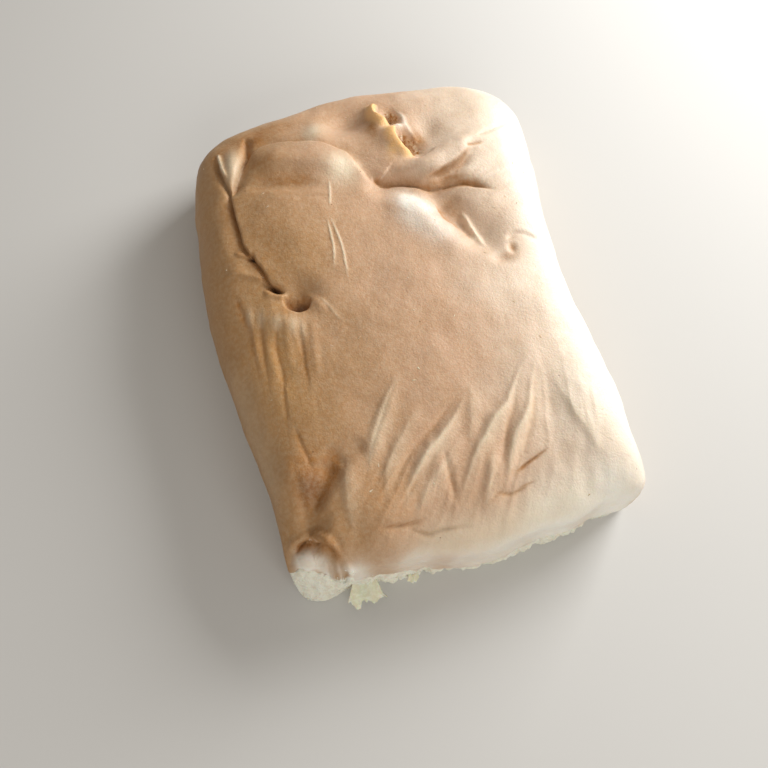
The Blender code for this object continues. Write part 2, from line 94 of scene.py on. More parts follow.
def grown(name, tree, sizes=None, base=None):
    """A plain mesh object from what a Geometry Nodes tree makes with the named sizes."""
    piece = bpy.data.objects.new(name, base or bpy.data.meshes.new(name))
    bpy.context.scene.collection.objects.link(piece)
    maker = piece.modifiers.new("maker", "NODES")
    maker.node_group = tree
    for item in tree.interface.items_tree:
        if item.name in (sizes or {}):
            maker[item.identifier] = sizes[item.name]
    plain(piece)
    return piece


def plain(piece):
    """Turns a piece with its modifiers into one plain mesh."""
    graph = bpy.context.evaluated_depsgraph_get()
    mesh = bpy.data.meshes.new_from_object(piece.evaluated_get(graph))
    piece.modifiers.clear()
    piece.data = mesh


def places_of(mesh):
    places = np.empty(len(mesh.vertices) * 3)
    mesh.vertices.foreach_get("co", places)
    return places.reshape(-1, 3)


def normals_of(mesh):
    normals = np.empty(len(mesh.vertices) * 3)
    mesh.vertex_normals.foreach_get("vector", normals)
    return normals.reshape(-1, 3)


def move_to(mesh, places):
    mesh.vertices.foreach_set("co", places.ravel())
    mesh.update()


def smoothstep(low, high, value):
    share = np.clip((value - low) / (high - low), 0.0, 1.0)
    return share * share * (3.0 - 2.0 * share)


def through(values, share):
    """A smooth curve through evenly spaced values, read at share, from -1 to 1."""
    spots = np.linspace(-1.0, 1.0, len(values))
    return np.polyval(np.polyfit(spots, values, len(values) - 1), share)


def pillow(block):
    """The block's points as a puffed pillow whose sides follow the bread's outline."""
    a, b, c = block.T
    near_corner = smoothstep(0.3, 1.0, np.abs(a)) * smoothstep(-0.5, -1.0, b)
    corner = CORNER_POWER + (np.where(a < 0, *NEAR_CORNER_POWERS) - CORNER_POWER) * near_corner
    edge = (np.abs(a) ** corner + np.abs(b) ** corner) ** (1 / corner)
    power = np.where(c > 0, TOP_POWER, BASE_POWER)
    shrink = (edge ** power + np.abs(c) ** power) ** (-1 / power)
    u, v, w = a * shrink, b * shrink, c * shrink
    at, depth, wide = RIGHT_PINCH
    left = through(LEFT_SIDE, v)
    right = through(RIGHT_SIDE, v) - depth * np.exp(-((v - at) / wide) ** 2)
    near, far = through(NEAR_SIDE, u), through(FAR_SIDE, u)
    x = left + (right - left) * (u + 1) / 2
    near = near + sum(depth * np.exp(-((x - at) / wide) ** 2) for at, depth, wide in NEAR_PINCHES)
    y = near + (far - near) * (v + 1) / 2
    z = WIDEST_AT + w * np.where(w > 0, CROWN - WIDEST_AT, WIDEST_AT + SINK)
    return np.stack([x, y, z], axis=1)


def wander(places, size, seed, stretch=(1.0, 1.0, 1.0)):
    """Smooth noise between about -1 and 1, with lumps of the given size."""
    shift = Vector((seed * 7.3, seed * 3.1, seed * 5.7))
    return np.array([noise.noise(Vector(p) + shift) for p in places / (size * np.array(stretch))])


def crinkled(noises):
    """Smooth noise made into crinkles: 1 along each thin line, and lower on both its sides."""
    return 1.0 - 2.6 * np.abs(noises)


def tapered(share, fade):
    """1 along a path's middle, falling to 0 over the same share of it at each end."""
    return smoothstep(0.0, fade, share) * smoothstep(0.0, fade, 1.0 - share)


def smooth_path(points, steps=7):
    """A Catmull-Rom curve through a few points of the plan."""
    knots = np.array([points[0], *points, points[-1]], float)
    share = np.linspace(0.0, 1.0, steps, endpoint=False)[:, None]
    runs = []
    for before, start, end, after in zip(knots, knots[1:], knots[2:], knots[3:]):
        runs.append(0.5 * (2 * start + (end - before) * share
                           + (2 * before - 5 * start + 4 * end - after) * share ** 2
                           + (3 * start - before - 3 * end + after) * share ** 3))
    return np.vstack([*runs, knots[-1:]])


# What the finish can show more or less of at each point of the skin: painted shade deep in creases,
# orange lips, holes, painted highlights, brown from browning and painted shade, pale skin and
# painted light, and bare crumb.
TONES = ("crease", "lip", "pit", "painted_highlight", "browning_and_shade", "pale", "crumb")


class Skin:
    """Adds up how far each point of the skin stands out, dips or slides sideways."""

    def __init__(self, places):
        self.plan = places[:, :2]
        self.rise = np.zeros(len(places))
        self.slide = np.zeros((len(places), 2))
        self.tones = {name: np.zeros(len(places)) for name in TONES}
        flat = places * (1.0, 1.0, 0.0)
        self.wobble = 0.45 * wander(flat, 7.0, SEED + 20) + 0.22 * wander(flat, 2.4, SEED + 21)

    def swell(self, centre, radii, rise, turn=0.0, tone=None, strength=1.0):
        """A soft mound, or a hollow where rise is negative."""
        aside = self.plan - centre
        angle = math.radians(turn)
        across = aside @ (math.cos(angle), math.sin(angle))
        along = aside @ (-math.sin(angle), math.cos(angle))
        shape = np.exp(-(across / radii[0]) ** 2 - (along / radii[1]) ** 2)
        self.rise += rise * shape
        if tone:
            self.tones[tone] = np.maximum(self.tones[tone], strength * shape)

    def measure(self, points, reach):
        """The skin's points near a path: which, how far left of it, how far along, its heading."""
        path = smooth_path(points)
        starts, runs = path[:-1], np.diff(path, axis=0)
        low, high = path.min(axis=0) - reach, path.max(axis=0) + reach
        close = np.flatnonzero(((self.plan > low) & (self.plan < high)).all(axis=1))
        offset = self.plan[close][:, None, :] - starts[None, :, :]
        along = np.clip((offset * runs).sum(axis=2) / (runs ** 2).sum(axis=1), 0.0, 1.0)
        offset -= along[:, :, None] * runs
        nearest = (offset ** 2).sum(axis=2).argmin(axis=1)
        rows = np.arange(len(close))
        offset, along, run = offset[rows, nearest], along[rows, nearest], runs[nearest]
        heading = run / np.linalg.norm(run, axis=1)[:, None]
        side = np.sign(run[:, 0] * offset[:, 1] - run[:, 1] * offset[:, 0])
        left = side * np.linalg.norm(offset, axis=1)
        return close, left, (nearest + along) / len(runs), heading

    def fold(self, points, rise, left, right=None, sharp=2.0, fade=0.3, tone=None, strength=1.0,
             steady=1.0):
        """A ridge along a path, or a crease where rise is negative, left and right mm wide."""
        right = right or left
        close, away, share, _ = self.measure(points, 5 * max(left, right) + 1)
        ends = tapered(share, fade)
        away = away + steady * min(1.0, max(left, right)) * self.wobble[close]
        side = np.where(away > 0, left, right) * (0.55 + 0.45 * ends)
        shape = ends * np.exp(-(np.abs(away) / side) ** sharp)
        self.rise[close] += rise * shape
        if tone:
            self.tones[tone][close] = np.maximum(self.tones[tone][close], strength * shape)

    def step(self, points, rise, width, reach=3.0, fade=0.3):
        """Skin that stands higher on the path's left than on its right."""
        close, away, share, _ = self.measure(points, 2.5 * reach * width)
        ends = tapered(share, fade)
        away = away + self.wobble[close]
        settle = np.exp(-(away / (reach * width)) ** 2)
        self.rise[close] += rise * ends * settle * np.tanh(away / width)

    def overhang(self, points, shift, width, fade=0.2):
        """Pushes the skin on the path's left out over the crease."""
        close, away, share, heading = self.measure(points, 5 * width)
        ends = tapered(share, fade)
        push = shift * ends * np.exp(-((away - width) / width) ** 2)
        self.slide[close] += push[:, None] * np.stack([heading[:, 1], -heading[:, 0]], axis=1)

    def crepe(self, centre, radii, heading, size, rise, seed):
        """Fine crinkles that run along a heading, within a soft patch of the skin."""
        aside = self.plan - centre
        patch = np.exp(-(aside[:, 0] / radii[0]) ** 2 - (aside[:, 1] / radii[1]) ** 2)
        near = np.flatnonzero(patch > 0.03)
        angle = math.radians(heading)
        along = aside[near] @ (math.cos(angle), math.sin(angle))
        across = aside[near] @ (-math.sin(angle), math.cos(angle)) + 1.5 * self.wobble[near]
        grain = wander(np.stack([along / 6.0, across, np.zeros(len(near))], axis=1), size, seed)
        self.rise[near] += rise * patch[near] * crinkled(grain)


def broad_forms(skin):
    """The bulges, hollows and valleys that give the bread its uneven top."""
    skin.swell((-26, 27), (12, 16), 1.6)
    skin.swell((-19, 51), (15, 6.5), 1.4, turn=-12)
    skin.fold([(-34, 51), (-24, 48.5), (-14.5, 45), (-6, 41)], 1.8, 5.5, 3.8)
    skin.fold([(-36.5, 43.5), (-30, 41), (-22, 38.2), (-12, 36.6)], -0.9, 2.4)
    skin.swell((-7.7, 43.9), (4.5, 5.5), 1.2)
    skin.swell((-1.4, 62.7), (8.8, 6.6), -3.6)
    skin.swell((-11, 58.5), (4, 6), 1.6, turn=-20)
    skin.swell((8.0, 53.0), (4.0, 10), 1.5, turn=8)
    skin.swell((21.5, 50.5), (4.6, 8), -2.0, turn=-25)
    skin.fold([(0.3, 40.0), (1.8, 34.0), (7.8, 31.6), (17.3, 27.5), (26.4, 27.6), (35.5, 24.0)],
              -2.0, 5.0, 3.6)
    skin.fold([(6.3, 37.5), (14.3, 36.5), (21.3, 38.5), (27.3, 41.2), (33.3, 43.6), (42.5, 46.5)],
              2.0, 3.4, 2.6)
    skin.fold([(14.3, 31), (20, 23.5), (23.5, 16.2), (28, 9.7), (33, 2.6)], -3.4, 6.0, 5.0)
    skin.fold([(3.6, 30.0), (10.4, 20.9), (17.6, 10.4), (24, 3.5)], 1.0, 4.5)
    skin.swell((43.5, 19), (7, 14), 1.2)
    skin.swell((-28.3, 2.6), (5.0, 4.2), -2.6)
    skin.swell((-35.2, -3.6), (6, 4.5), 1.3, turn=-30)
    skin.swell((-45.5, 23.4), (4, 22), 0.8)
    valley = [(-29.4, -41.0), (-30.2, -47.0), (-32.8, -51.4), (-36.6, -55.2), (-37.8, -58.6),
              (-37.0, -62.0), (-35.6, -65.6)]
    skin.fold(valley, -3.0, 3.8, 3.2, fade=0.25)
    skin.step(valley, 0.9, 3.0, reach=2.2)
    skin.fold([(-19.7, -43.9), (-25.2, -45.6), (-29.6, -47.4)], -1.0, 2.4)
    skin.swell((-40.6, -48.4), (5.0, 7), 1.5)
    skin.swell((-20.7, -63.8), (9, 9), 1.2)
    skin.swell((31.4, -43.8), (5, 9), -1.4, turn=-18)
    skin.swell((42.6, -51.7), (7, 15), 0.8)
    skin.swell((8.3, -15.9), (24, 14), 0.8)


def long_crease(skin):
    """The deep crease on the left, the pinched flap at its far end and the curl at its near end."""
    crease = [(-41.9, 43.3), (-41.6, 35.5), (-41.2, 27.6), (-40.6, 22.7), (-38.9, 18.3),
              (-37.0, 13.6), (-35.4, 8.4), (-31.7, 4.7)]
    # Along the crease the skin is brown, partly browning and partly painted shade, with painted
    # shade deep in it and in its two pockets.
    skin.fold(crease, -1.0, 0.7, 3.6, fade=0.1, tone="browning_and_shade", strength=0.5)
    skin.fold(crease, -1.5, 0.45, 0.8, sharp=1.5, fade=0.07, tone="crease", strength=0.3,
              steady=0.6)
    skin.overhang(crease, 0.6, 1.5, fade=0.1)
    skin.swell((-39.2, 18.6), (1.2, 0.8), -1.4, tone="crease")
    skin.swell((-34.5, 7.0), (2.4, 1.1), -2.2, turn=-38, tone="crease")
    skin.fold([(-44.1, 21.5), (-40.9, 20.1), (-38.5, 18.7)], 0.7, 1.3, 0.6)
    skin.fold([(-48.6, 15.7), (-43.4, 14.2), (-39.0, 12.0), (-36.3, 9.8)], 0.8, 2.8, 1.2)
    skin.fold([(-38.3, 7.2), (-34.5, 4.9), (-30.9, 2.9)], 0.7, 1.0, 1.2)
    groove_left = [(-44.0, 61.0), (-43.6, 54.0), (-42.7, 48.1), (-42.0, 44.2), (-41.6, 40.4)]
    groove_right = [(-33.1, 65.2), (-34.6, 58.8), (-35.7, 54.0), (-37.6, 49.4), (-39.5, 45.5),
                    (-41.1, 40.4)]
    skin.fold(groove_left, -1.5, 0.6, 0.9, sharp=1.6, fade=0.2, tone="crease", strength=0.6)
    skin.fold(groove_right, -2.1, 2.2, 0.7, sharp=1.6, fade=0.2, tone="browning_and_shade")
    # The pinched flap's raised tab and its left spine carry painted highlights.
    skin.swell((-39.0, 52.5), (2.4, 6.5), 1.2, turn=-8, tone="painted_highlight", strength=0.8)
    skin.fold([(-42.8, 61.0), (-42.2, 55.0), (-41.3, 48.2)], 0.9, 0.6, 0.6, tone="painted_highlight")
    # The dimple at the crease's near end: brown, with painted shade in its pocket.
    skin.fold([(-32.6, 4.4), (-31.6, 0.6), (-29.6, -1.2), (-27.2, -1.0), (-24.9, 1.6)],
              -2.6, 2.4, 0.8, sharp=1.8, fade=0.3, tone="browning_and_shade", strength=1.2)
    skin.swell((-29.0, 0.6), (3.6, 2.6), 0.0, tone="browning_and_shade", strength=1.8)
    skin.swell((-29.2, 0.0), (2.6, 1.5), 0.0, tone="crease", strength=1.0)
    skin.swell((-34.0, -1.4), (4.0, 1.5), 0.0, turn=-12, tone="browning_and_shade", strength=0.7)
    skin.fold([(-31.8, 1.2), (-29.6, -1.0), (-27.0, -0.8), (-25.2, 1.4)],
              -0.8, 0.9, 0.5, sharp=1.8, fade=0.35, tone="crease", strength=0.9)
    skin.fold([(-27.3, 4.4), (-25.3, 1.2), (-23.5, -1.8), (-21.5, -5.0)], 0.6, 1.4, 1.6)
    # A faint ridge with a thin painted highlight along it.
    skin.fold([(-23.0, 1.0), (-20.6, -3.6), (-18.2, -9.3)], 0.15, 0.3, tone="painted_highlight", strength=0.35)


def far_folds(skin):
    """The arc, the main fold, the burst blister and the short creases of the far third."""
    # The folds and creases here are brown along them, partly browning and partly painted shade,
    # darkest under the folds' lips.
    skin.fold([(-38.2, 49.4), (-33.7, 55.9), (-28.2, 59.1), (-21.4, 57.6), (-14.1, 54.7),
               (-8.7, 51.8), (-4.1, 48.3), (-1.9, 43.0), (-0.1, 38.0), (1.9, 34.2)],
              -0.7, 2.0, 0.6, sharp=1.5, fade=0.12, tone="browning_and_shade", strength=0.5)
    skin.step([(2.3, 34.2), (-0.1, 38.0), (-1.9, 43.0), (-4.5, 48.9)], 0.6, 1.4)
    skin.fold([(1.7, 37.5), (2.3, 35.4), (4.5, 33.8), (8.4, 33.3), (12.7, 31.7), (17.9, 29.2),
               (22.6, 29.2), (27.6, 28.8), (31.6, 27.1), (36.5, 23.8)],
              -1.8, 1.9, 0.7, sharp=1.4, fade=0.14, tone="browning_and_shade", strength=1.3, steady=0.6)
    skin.fold([(4.5, 33.8), (8.4, 33.1), (12.7, 31.5), (17.9, 29.0), (22.6, 29.0), (27.6, 28.6)],
              -0.5, 0.4, sharp=1.5, fade=0.3, tone="crease", strength=0.5, steady=0.4)
    upper_fold = [(15.2, 31.8), (19.4, 33.0), (23.4, 34.3), (27.6, 36.3), (31.8, 39.0),
                  (35.0, 41.6)]
    skin.step(upper_fold, 1.5, 0.9, reach=3.6)
    skin.fold(upper_fold, -0.9, 0.8, 2.8, fade=0.35, tone="browning_and_shade", strength=1.1)
    skin.fold(upper_fold, 0.0, 1.2, 1.8, fade=0.35, tone="crease", strength=0.5)
    skin.fold(upper_fold[:-1], -0.3, 0.4, fade=0.3, tone="crease", strength=0.35, steady=0.4)
    skin.fold([(-24.0, 33.1), (-20.0, 33.5), (-16.1, 33.2), (-12, 32.6)], -0.3, 0.7)
    skin.fold([(9.8, 66.6), (8.3, 64.0), (8.2, 60.3), (9.3, 57.5), (11.4, 55.0)],
              2.0, 0.7, 2.2, fade=0.2, steady=0.4)
    skin.fold([(12.2, 54.0), (11.2, 50.5), (11.7, 47.4), (13.2, 44.5), (15.6, 41.4)],
              2.2, 0.7, 2.4, fade=0.2, steady=0.4)
    # The blister's rims: orange walls under a pale top that is partly painted highlight.
    for rim in ([(9.8, 67.6), (8.3, 64.0), (8.2, 60.3), (9.3, 57.5), (11.9, 54.0)],
                [(12.4, 55.0), (11.2, 50.5), (11.7, 47.4), (13.2, 44.5), (16.1, 40.6)]):
        skin.fold(rim, 0.0, 0.8, 2.6, sharp=3.5, fade=0.15, tone="lip", steady=0.4)
        skin.fold(rim[1:-1], 0.2, 0.6, 0.5, tone="pale", strength=0.9, steady=0.4)
    skin.swell((12.4, 59.4), (2.3, 3.3), -3.4, turn=14, tone="pit", strength=1.7)
    skin.swell((15.3, 46.8), (2.5, 4.6), -3.6, turn=18, tone="pit", strength=1.7)
    skin.swell((13.4, 53.8), (1.8, 1.3), 1.4, tone="pale", strength=0.8)
    skin.swell((10.4, 45.6), (1.8, 3.4), 0.0, turn=-20, tone="lip", strength=0.9)
    skin.fold([(14.6, 63.2), (16.0, 58.4), (16.0, 54.0), (17.8, 48.8), (18.4, 43.6)],
              0.5, 0.8, 1.0, tone="pale", strength=0.7, steady=0.6)
    # The bank below the main fold: painted shade on its hollow side.
    bank = [(17.2, 26.6), (17.7, 22.6), (18.6, 18.6), (20.8, 15.2), (23.4, 11.4)]
    skin.step(bank, -0.7, 1.0, reach=2.6)
    skin.fold(bank, 0.0, 2.6, 0.7, fade=0.35, tone="browning_and_shade", strength=0.8)
    skin.fold([(15.7, 40.6), (18.7, 41.4), (22.8, 42.2)], -0.6, 0.6, tone="crease", strength=0.5)
    skin.fold([(31.0, 40.6), (34.5, 41.4), (38.4, 42.6)], -0.35, 0.5, tone="browning_and_shade", strength=0.9,
              steady=0.5)
    skin.fold([(35.9, 44.2), (42.6, 47.6), (50.3, 51.6)], -0.5, 0.9, tone="crease", strength=0.3,
              steady=0.5)
    # The right ridge: a painted highlight along its crest, and brown with painted shade in the
    # crease beside it.
    skin.fold([(24.2, 20.2), (25.2, 15.8), (26.8, 10.6), (28.3, 6.0)], 0.9, 1.0, 1.2, tone="painted_highlight",
              strength=0.5)
    skin.fold([(22.6, 18.6), (23.6, 14.2), (25.3, 9.6)], -0.5, 1.3, tone="browning_and_shade", strength=0.35)
    skin.fold([(34.2, 6.8), (39.4, 8.3), (45.2, 5.6)], -0.6, 0.9, tone="crease", strength=0.3)
    skin.swell((35.5, 3.8), (1.3, 2.0), -0.9, tone="browning_and_shade", strength=0.9)
    skin.swell((31.6, 0.8), (3.0, 1.8), -1.1, tone="browning_and_shade", strength=0.5)
    # Thin bright hairlines: low ridges with painted highlights along them.
    for thread in ([(-14.4, 26.5), (-13.4, 19.7), (-13.0, 14.4), (-13.3, 8.4), (-13.7, 2.8)],
                   [(-15.2, 26), (-15.2, 19.2), (-15.5, 14.0), (-17.0, 6.8)],
                   [(-11.6, 38.4), (-12.4, 33.4), (-13.5, 28.5)]):
        skin.fold(thread, 0.3, 0.26, steady=0.5, tone="painted_highlight", strength=1.1)


def near_wrinkles(skin):
    """The wrinkle fans of the near half and the creases along the near edge."""
    # The fans' furrows are brown along them, partly browning and partly painted shade.
    for wrinkle in ([(-46.6, 10.4), (-44.9, 2.3), (-43.8, -5.3), (-44.2, -24.3)],
                    [(-38.7, 3.4), (-40.6, -4.9), (-41.2, -12.2), (-42.4, -26.3)],
                    [(-35.1, -2.5), (-37.8, -11.5), (-37.6, -20.1), (-40.4, -42)],
                    [(-29.7, -4.6), (-30.7, -14.0), (-31.2, -27.0)],
                    [(-37.6, -34.6), (-36.4, -41.1), (-34.9, -48.6)]):
        skin.fold(wrinkle, -0.28, 0.6, 0.8, sharp=1.8, fade=0.35, tone="browning_and_shade", strength=1.5,
                  steady=0.6)
        skin.fold(wrinkle, 0.0, 1.8, fade=0.4, tone="browning_and_shade", strength=0.9)
    for ridge in ([(-42.3, 3.7), (-42.9, -5.3), (-42.8, -18)],
                  [(-37.6, 0.4), (-39.3, -9.2), (-39.8, -23)],
                  [(-33.0, -2.1), (-34.3, -10.1), (-34.3, -23)],
                  [(-26.3, -5.0), (-27.3, -13.0), (-28.3, -24.0)]):
        skin.fold(ridge, 0.35, 1.5, 1.2, fade=0.4)
    # Painted highlights on the fans' shoulders.
    for spot, size in (((-43.2, 0.2), (1.2, 3.2)), ((-39.9, -1.6), (1.4, 2.8)),
                       ((-35.8, -4.2), (1.8, 2.4)), ((-31.6, -6.4), (1.6, 2.6)),
                       ((-29.6, -8.2), (1.0, 3.0))):
        skin.swell(spot, size, 0.3, turn=-6, tone="painted_highlight", strength=0.45)
    # Each near ridge carries a broad and a thin painted highlight along its crest.
    for ridge, rise in (([(-6.2, -25.9), (-14.1, -37.9), (-18.4, -44.9), (-22, -53.8)], 1.2),
                        ([(-2.7, -36.4), (-10.9, -45.3), (-15.9, -52.3), (-18.9, -62)], 0.7),
                        ([(10.3, -36.4), (0.8, -46.4), (-7.4, -52.8), (-15.1, -63)], 1.3),
                        ([(9.5, -43.8), (-1.3, -54.2), (-8.3, -60.4), (-13.2, -67)], 0.7),
                        ([(11.2, -33.9), (8.9, -43.4), (6.5, -52.4)], 0.5),
                        ([(29.8, -28.8), (18.9, -42.2), (12.7, -47.6), (6.4, -55.2),
                          (-2.8, -68)], 1.3),
                        ([(31.6, -29.3), (24.6, -44.4), (19.4, -50.8), (15.4, -57.8),
                          (12.2, -65)], 1.2),
                        ([(13, -50.8), (9.5, -60.8), (5.0, -69.6)], 0.7),
                        ([(33.4, -36), (37.5, -51.8), (40.2, -64)], 0.5),
                        ([(-25.3, -45.9), (-27.7, -55.9), (-28.3, -66.8)], 0.5)):
        skin.fold(ridge, rise, 2.8, 1.4, fade=0.45, tone="painted_highlight", strength=0.45 * rise)
        skin.fold(ridge, 0.05 * rise, 1.3, 1.0, fade=0.4, tone="painted_highlight", strength=0.6 * rise)
    # The creases between the near ridges: brown, partly browning and partly painted shade.
    for crease in ([(-7.6, -28.5), (-14.6, -38.9), (-19.0, -45.9), (-22.5, -54.4)],
                   [(7.3, -36.4), (-2.6, -45.2), (-9.5, -49.9), (-16.1, -57)],
                   [(6.7, -42.6), (-3.8, -52.0), (-10.7, -57.8), (-18.1, -65)],
                   [(27.4, -31.6), (20.8, -42.6), (17.1, -50.2), (14.4, -55.3), (5.4, -68)],
                   [(30.2, -34.5), (24.9, -47.3), (21.7, -52.9), (14.2, -63.6)],
                   [(-0.7, -50.2), (-1.0, -58.3), (-0.8, -65.6)]):
        skin.fold(crease, -0.6, 1.1, 1.0, sharp=1.8, fade=0.4, tone="browning_and_shade", strength=0.55)
    # The creases along the near edge get painted shade deep in them and brown beside them.
    for crease, rise in (([(28, -56.0), (22.3, -58.3), (18.8, -59.8), (13.6, -62.2)], -0.9),
                         ([(23.8, -63.2), (17.4, -64.7), (13.8, -65.9), (10.2, -65.1),
                           (5.6, -67.8)], -0.5),
                         ([(-23.1, -65.8), (-15.8, -67.1), (-8.4, -66.3)], -0.7),
                         ([(-15.4, -67.4), (-10.2, -70.2), (-4.8, -70.3), (4.1, -71)], -0.8)):
        skin.fold(crease, 0.8 * rise, 0.4, 0.8, sharp=1.5, fade=0.4, tone="crease", strength=0.5,
                  steady=0.6)
        skin.fold(crease, 0.0, 0.7, 0.5, fade=0.35, tone="browning_and_shade", strength=1.1, steady=0.6)
    for seed, (spot, size, heading, apart, rise) in enumerate((
            ((10.4, -61.8), (24, 12), 60, 2.6, 0.2), ((36.5, -53.8), (14, 22), 80, 3.4, 0.2),
            ((-17.7, -59.8), (16, 14), 50, 3.4, 0.22), ((-34.7, -14.1), (10, 18), 88, 2.6, 0.14),
            ((40.5, 32.6), (14, 20), 25, 3.2, 0.12), ((-7.8, 63.4), (34, 8), 10, 2.8, 0.12)),
            start=SEED + 30):
        skin.crepe(spot, size, heading, apart, rise, seed)


def browning_and_painted_light_patches(skin):
    """Where the skin is browner or paler: partly the oven's browning, partly painted shade in
    hollows and painted light on lit slopes.
    """
    # Soft patches: the brown ones are partly browning and partly painted shade, the deep brown ones
    # painted shade, the orange one the skin's own, the cream ones painted highlights, and the white
    # ones on the bank below the main fold painted light.
    for tone, strength, spot, size, turn in (
            ("browning_and_shade", 0.6, (-29, 50.5), (8, 5), -15),
            ("browning_and_shade", 1.1, (-31, 62.5), (14, 4.5), 12),
            ("browning_and_shade", 1.2, (-37.0, -48.5), (5.0, 9.0), 0),
            ("browning_and_shade", 0.3, (-40, -8), (7, 16), 0),
            ("browning_and_shade", 0.3, (-39.5, -16), (5, 14), 0),
            ("browning_and_shade", 0.35, (-30, 45), (9, 8), 0),
            ("browning_and_shade", 0.25, (-33, 22), (8, 16), 0),
            ("browning_and_shade", 0.8, (-35.0, -67.6), (1.5, 2.2), 25),
            ("browning_and_shade", 0.45, (-20, -58.6), (8, 9), 0),
            ("browning_and_shade", 0.8, (27.0, 34.0), (5.0, 2.6), 35),
            ("browning_and_shade", 1.15, (22.0, 30.8), (8.5, 2.8), 8),
            ("browning_and_shade", 0.5, (22.5, 22.5), (4.0, 7.0), 20),
            ("browning_and_shade", 0.9, (18.6, 48.6), (2.4, 5.2), 14),
            ("browning_and_shade", 0.7, (34.0, 1.6), (3.2, 2.0), 0),
            ("browning_and_shade", 0.9, (5.6, 56.0), (2.2, 6.0), 0),
            ("crease", 0.42, (-30, 62.5), (9, 4.0), 12),
            ("crease", 0.72, (-36.4, -51.5), (4.8, 7.0), 0),
            ("crease", 0.52, (20.8, 27.8), (4.6, 2.6), -8),
            ("crease", 0.45, (20.8, 22.6), (2.4, 4.6), 12),
            ("lip", 0.24, (-38.5, -15), (7, 18), 0),
            ("painted_highlight", 1.1, (-7, 41.3), (4.6, 5.0), 0),
            ("painted_highlight", 0.8, (-12.5, 58.5), (2.6, 4.2), -20),
            ("pale", 1.7, (11.0, 23.8), (6.4, 3.6), -52),
            ("pale", 1.0, (10.2, 18.0), (6.0, 3.4), -52)):
        skin.swell(spot, size, 0.0, turn, tone, strength)
    # Bands along paths: brown across the upper left bulge, in the near valley and by the knob,
    # partly painted shade; white along the bank painted light; white along the near edge the skin's
    # own; white along the right rim partly painted light; cream along the near edge and the left
    # flank painted highlight.
    for tone, strength, path, left, right, fade in (
            ("browning_and_shade", 0.8, [(-37, 46.5), (-31.2, 43.8), (-24.6, 41.0), (-18.0, 39.4),
                            (-12.6, 38.4)], 5.0, 1.3, 0.3),
            ("browning_and_shade", 1.25, [(-28.8, -41.0), (-29.0, -46.4), (-31.4, -51.2), (-35.0, -55.0),
                             (-36.4, -59.4)], 1.8, 4.8, 0.3),
            ("browning_and_shade", 0.6, [(-42.0, -62.4), (-38.6, -63.2), (-36.0, -65.4), (-33.8, -68.8)],
             1.6, 1.6, 0.3),
            ("pale", 0.95, [(4.0, 30.0), (8.3, 27.0), (11.0, 23.6), (13.2, 19.6), (15.6, 15.6),
                            (19.0, 10.6), (23.3, 5.4)], 2.8, 5.4, 0.3),
            ("pale", 1.0, [(12, -76), (26, -74.5), (40, -71.5), (50, -66)], 9.0, 5.0, 0.3),
            ("pale", 0.9, [(50.5, 62), (49, 38), (47.5, 14), (48.0, -10), (50.5, -36),
                           (53.0, -66)], 9.0, 5.5, 0.12),
            ("painted_highlight", 0.7, [(-20, -73), (-8, -73.5), (4, -73.5), (18, -73), (32, -70),
                            (46, -67)], 6.0, 5.0, 0.25),
            ("painted_highlight", 0.22, [(-52.5, -6), (-50.0, -24), (-47.5, -42), (-46.0, -60)],
             4.0, 4.0, 0.3)):
        skin.fold(path, 0.0, left, right, fade=fade, tone=tone, strength=strength)


# Where the skin has torn off the near left corner. Each table pairs x with what is measured
# there: where the skin ends, how high the crumb stands, where the crumb meets the board, and
# how high the skin ends along the rest of the near side, over a bare strip of crumb.
TORN_EDGE = ((-52, -67.5), (-49, -68.4), (-46, -69.2), (-44.3, -69.4), (-41.2, -70.6),
             (-38.3, -72.2), (-35.3, -73.8), (-32.3, -75.0), (-28.7, -76.0), (-22, -77.6))
CRUMB_HEIGHT = ((-52, 9.0), (-48, 11.5), (-44.5, 15.0), (-41.2, 15.0), (-38.3, 12.5), (-35.3, 9.5),
                (-32.3, 7.0), (-28.7, 5.0), (-20, 4.0))
CRUMB_FOOT = ((-50, -70.5), (-48.5, -71.5), (-46.8, -74.0), (-42.2, -76.4), (-33, -76.8),
              (-20, -78.4))
SKIN_ENDS = ((-40, 15), (-36, 14), (-32, 14), (-22, 13), (-16, 11), (-11, 6), (-5, 2.5),
             (2, 4.0), (8, 5.5), (20, 8), (28, 6), (36, 3), (46, 0.5))
CRUMB_ROUGHNESS = 1.3
CRUMB_BEVEL = 6
STRIP_STANDS_OUT = 1.1
SKIN_END_STANDS_OUT = 0.5


def tear_corner(places):
    """Lowers the near left corner to the sloping crumb, and says where the crumb is."""
    x, y, z = places.T
    torn_at, height, foot = (np.interp(x, *np.array(table, float).T)
                             for table in (TORN_EDGE, CRUMB_HEIGHT, CRUMB_FOOT))
    flat = places * (1.0, 1.0, 0.0)
    past = torn_at - y + 0.5 * wander(flat, 3.0, SEED + 12) + 0.25 * wander(flat, 1.4, SEED + 13)
    slope = 1.0 - np.clip(past / np.maximum(torn_at - foot, 0.5), 0.0, 1.0) ** 1.35
    bank = 1.25 + 7.0 * smoothstep(-40.0, -29.0, x)
    face = 2.5 + height * slope + bank * np.maximum(-past, 0.0)
    bare = smoothstep(-0.3, 0.4, past) * smoothstep(-27.0, -32.0, x)
    crags = wander(flat, 3.0, SEED) + 0.6 * wander(flat, 1.6, SEED + 4)
    face = np.maximum(face + CRUMB_ROUGHNESS * crags * bare, 1.5)
    face += 40.0 * smoothstep(-34.0, -27.0, x)
    over = (np.maximum(z, WIDEST_AT) / face) ** CRUMB_BEVEL
    lowered = z * (1.0 + over) ** (-1 / CRUMB_BEVEL)
    return np.stack([x, y, lowered], axis=1), bare


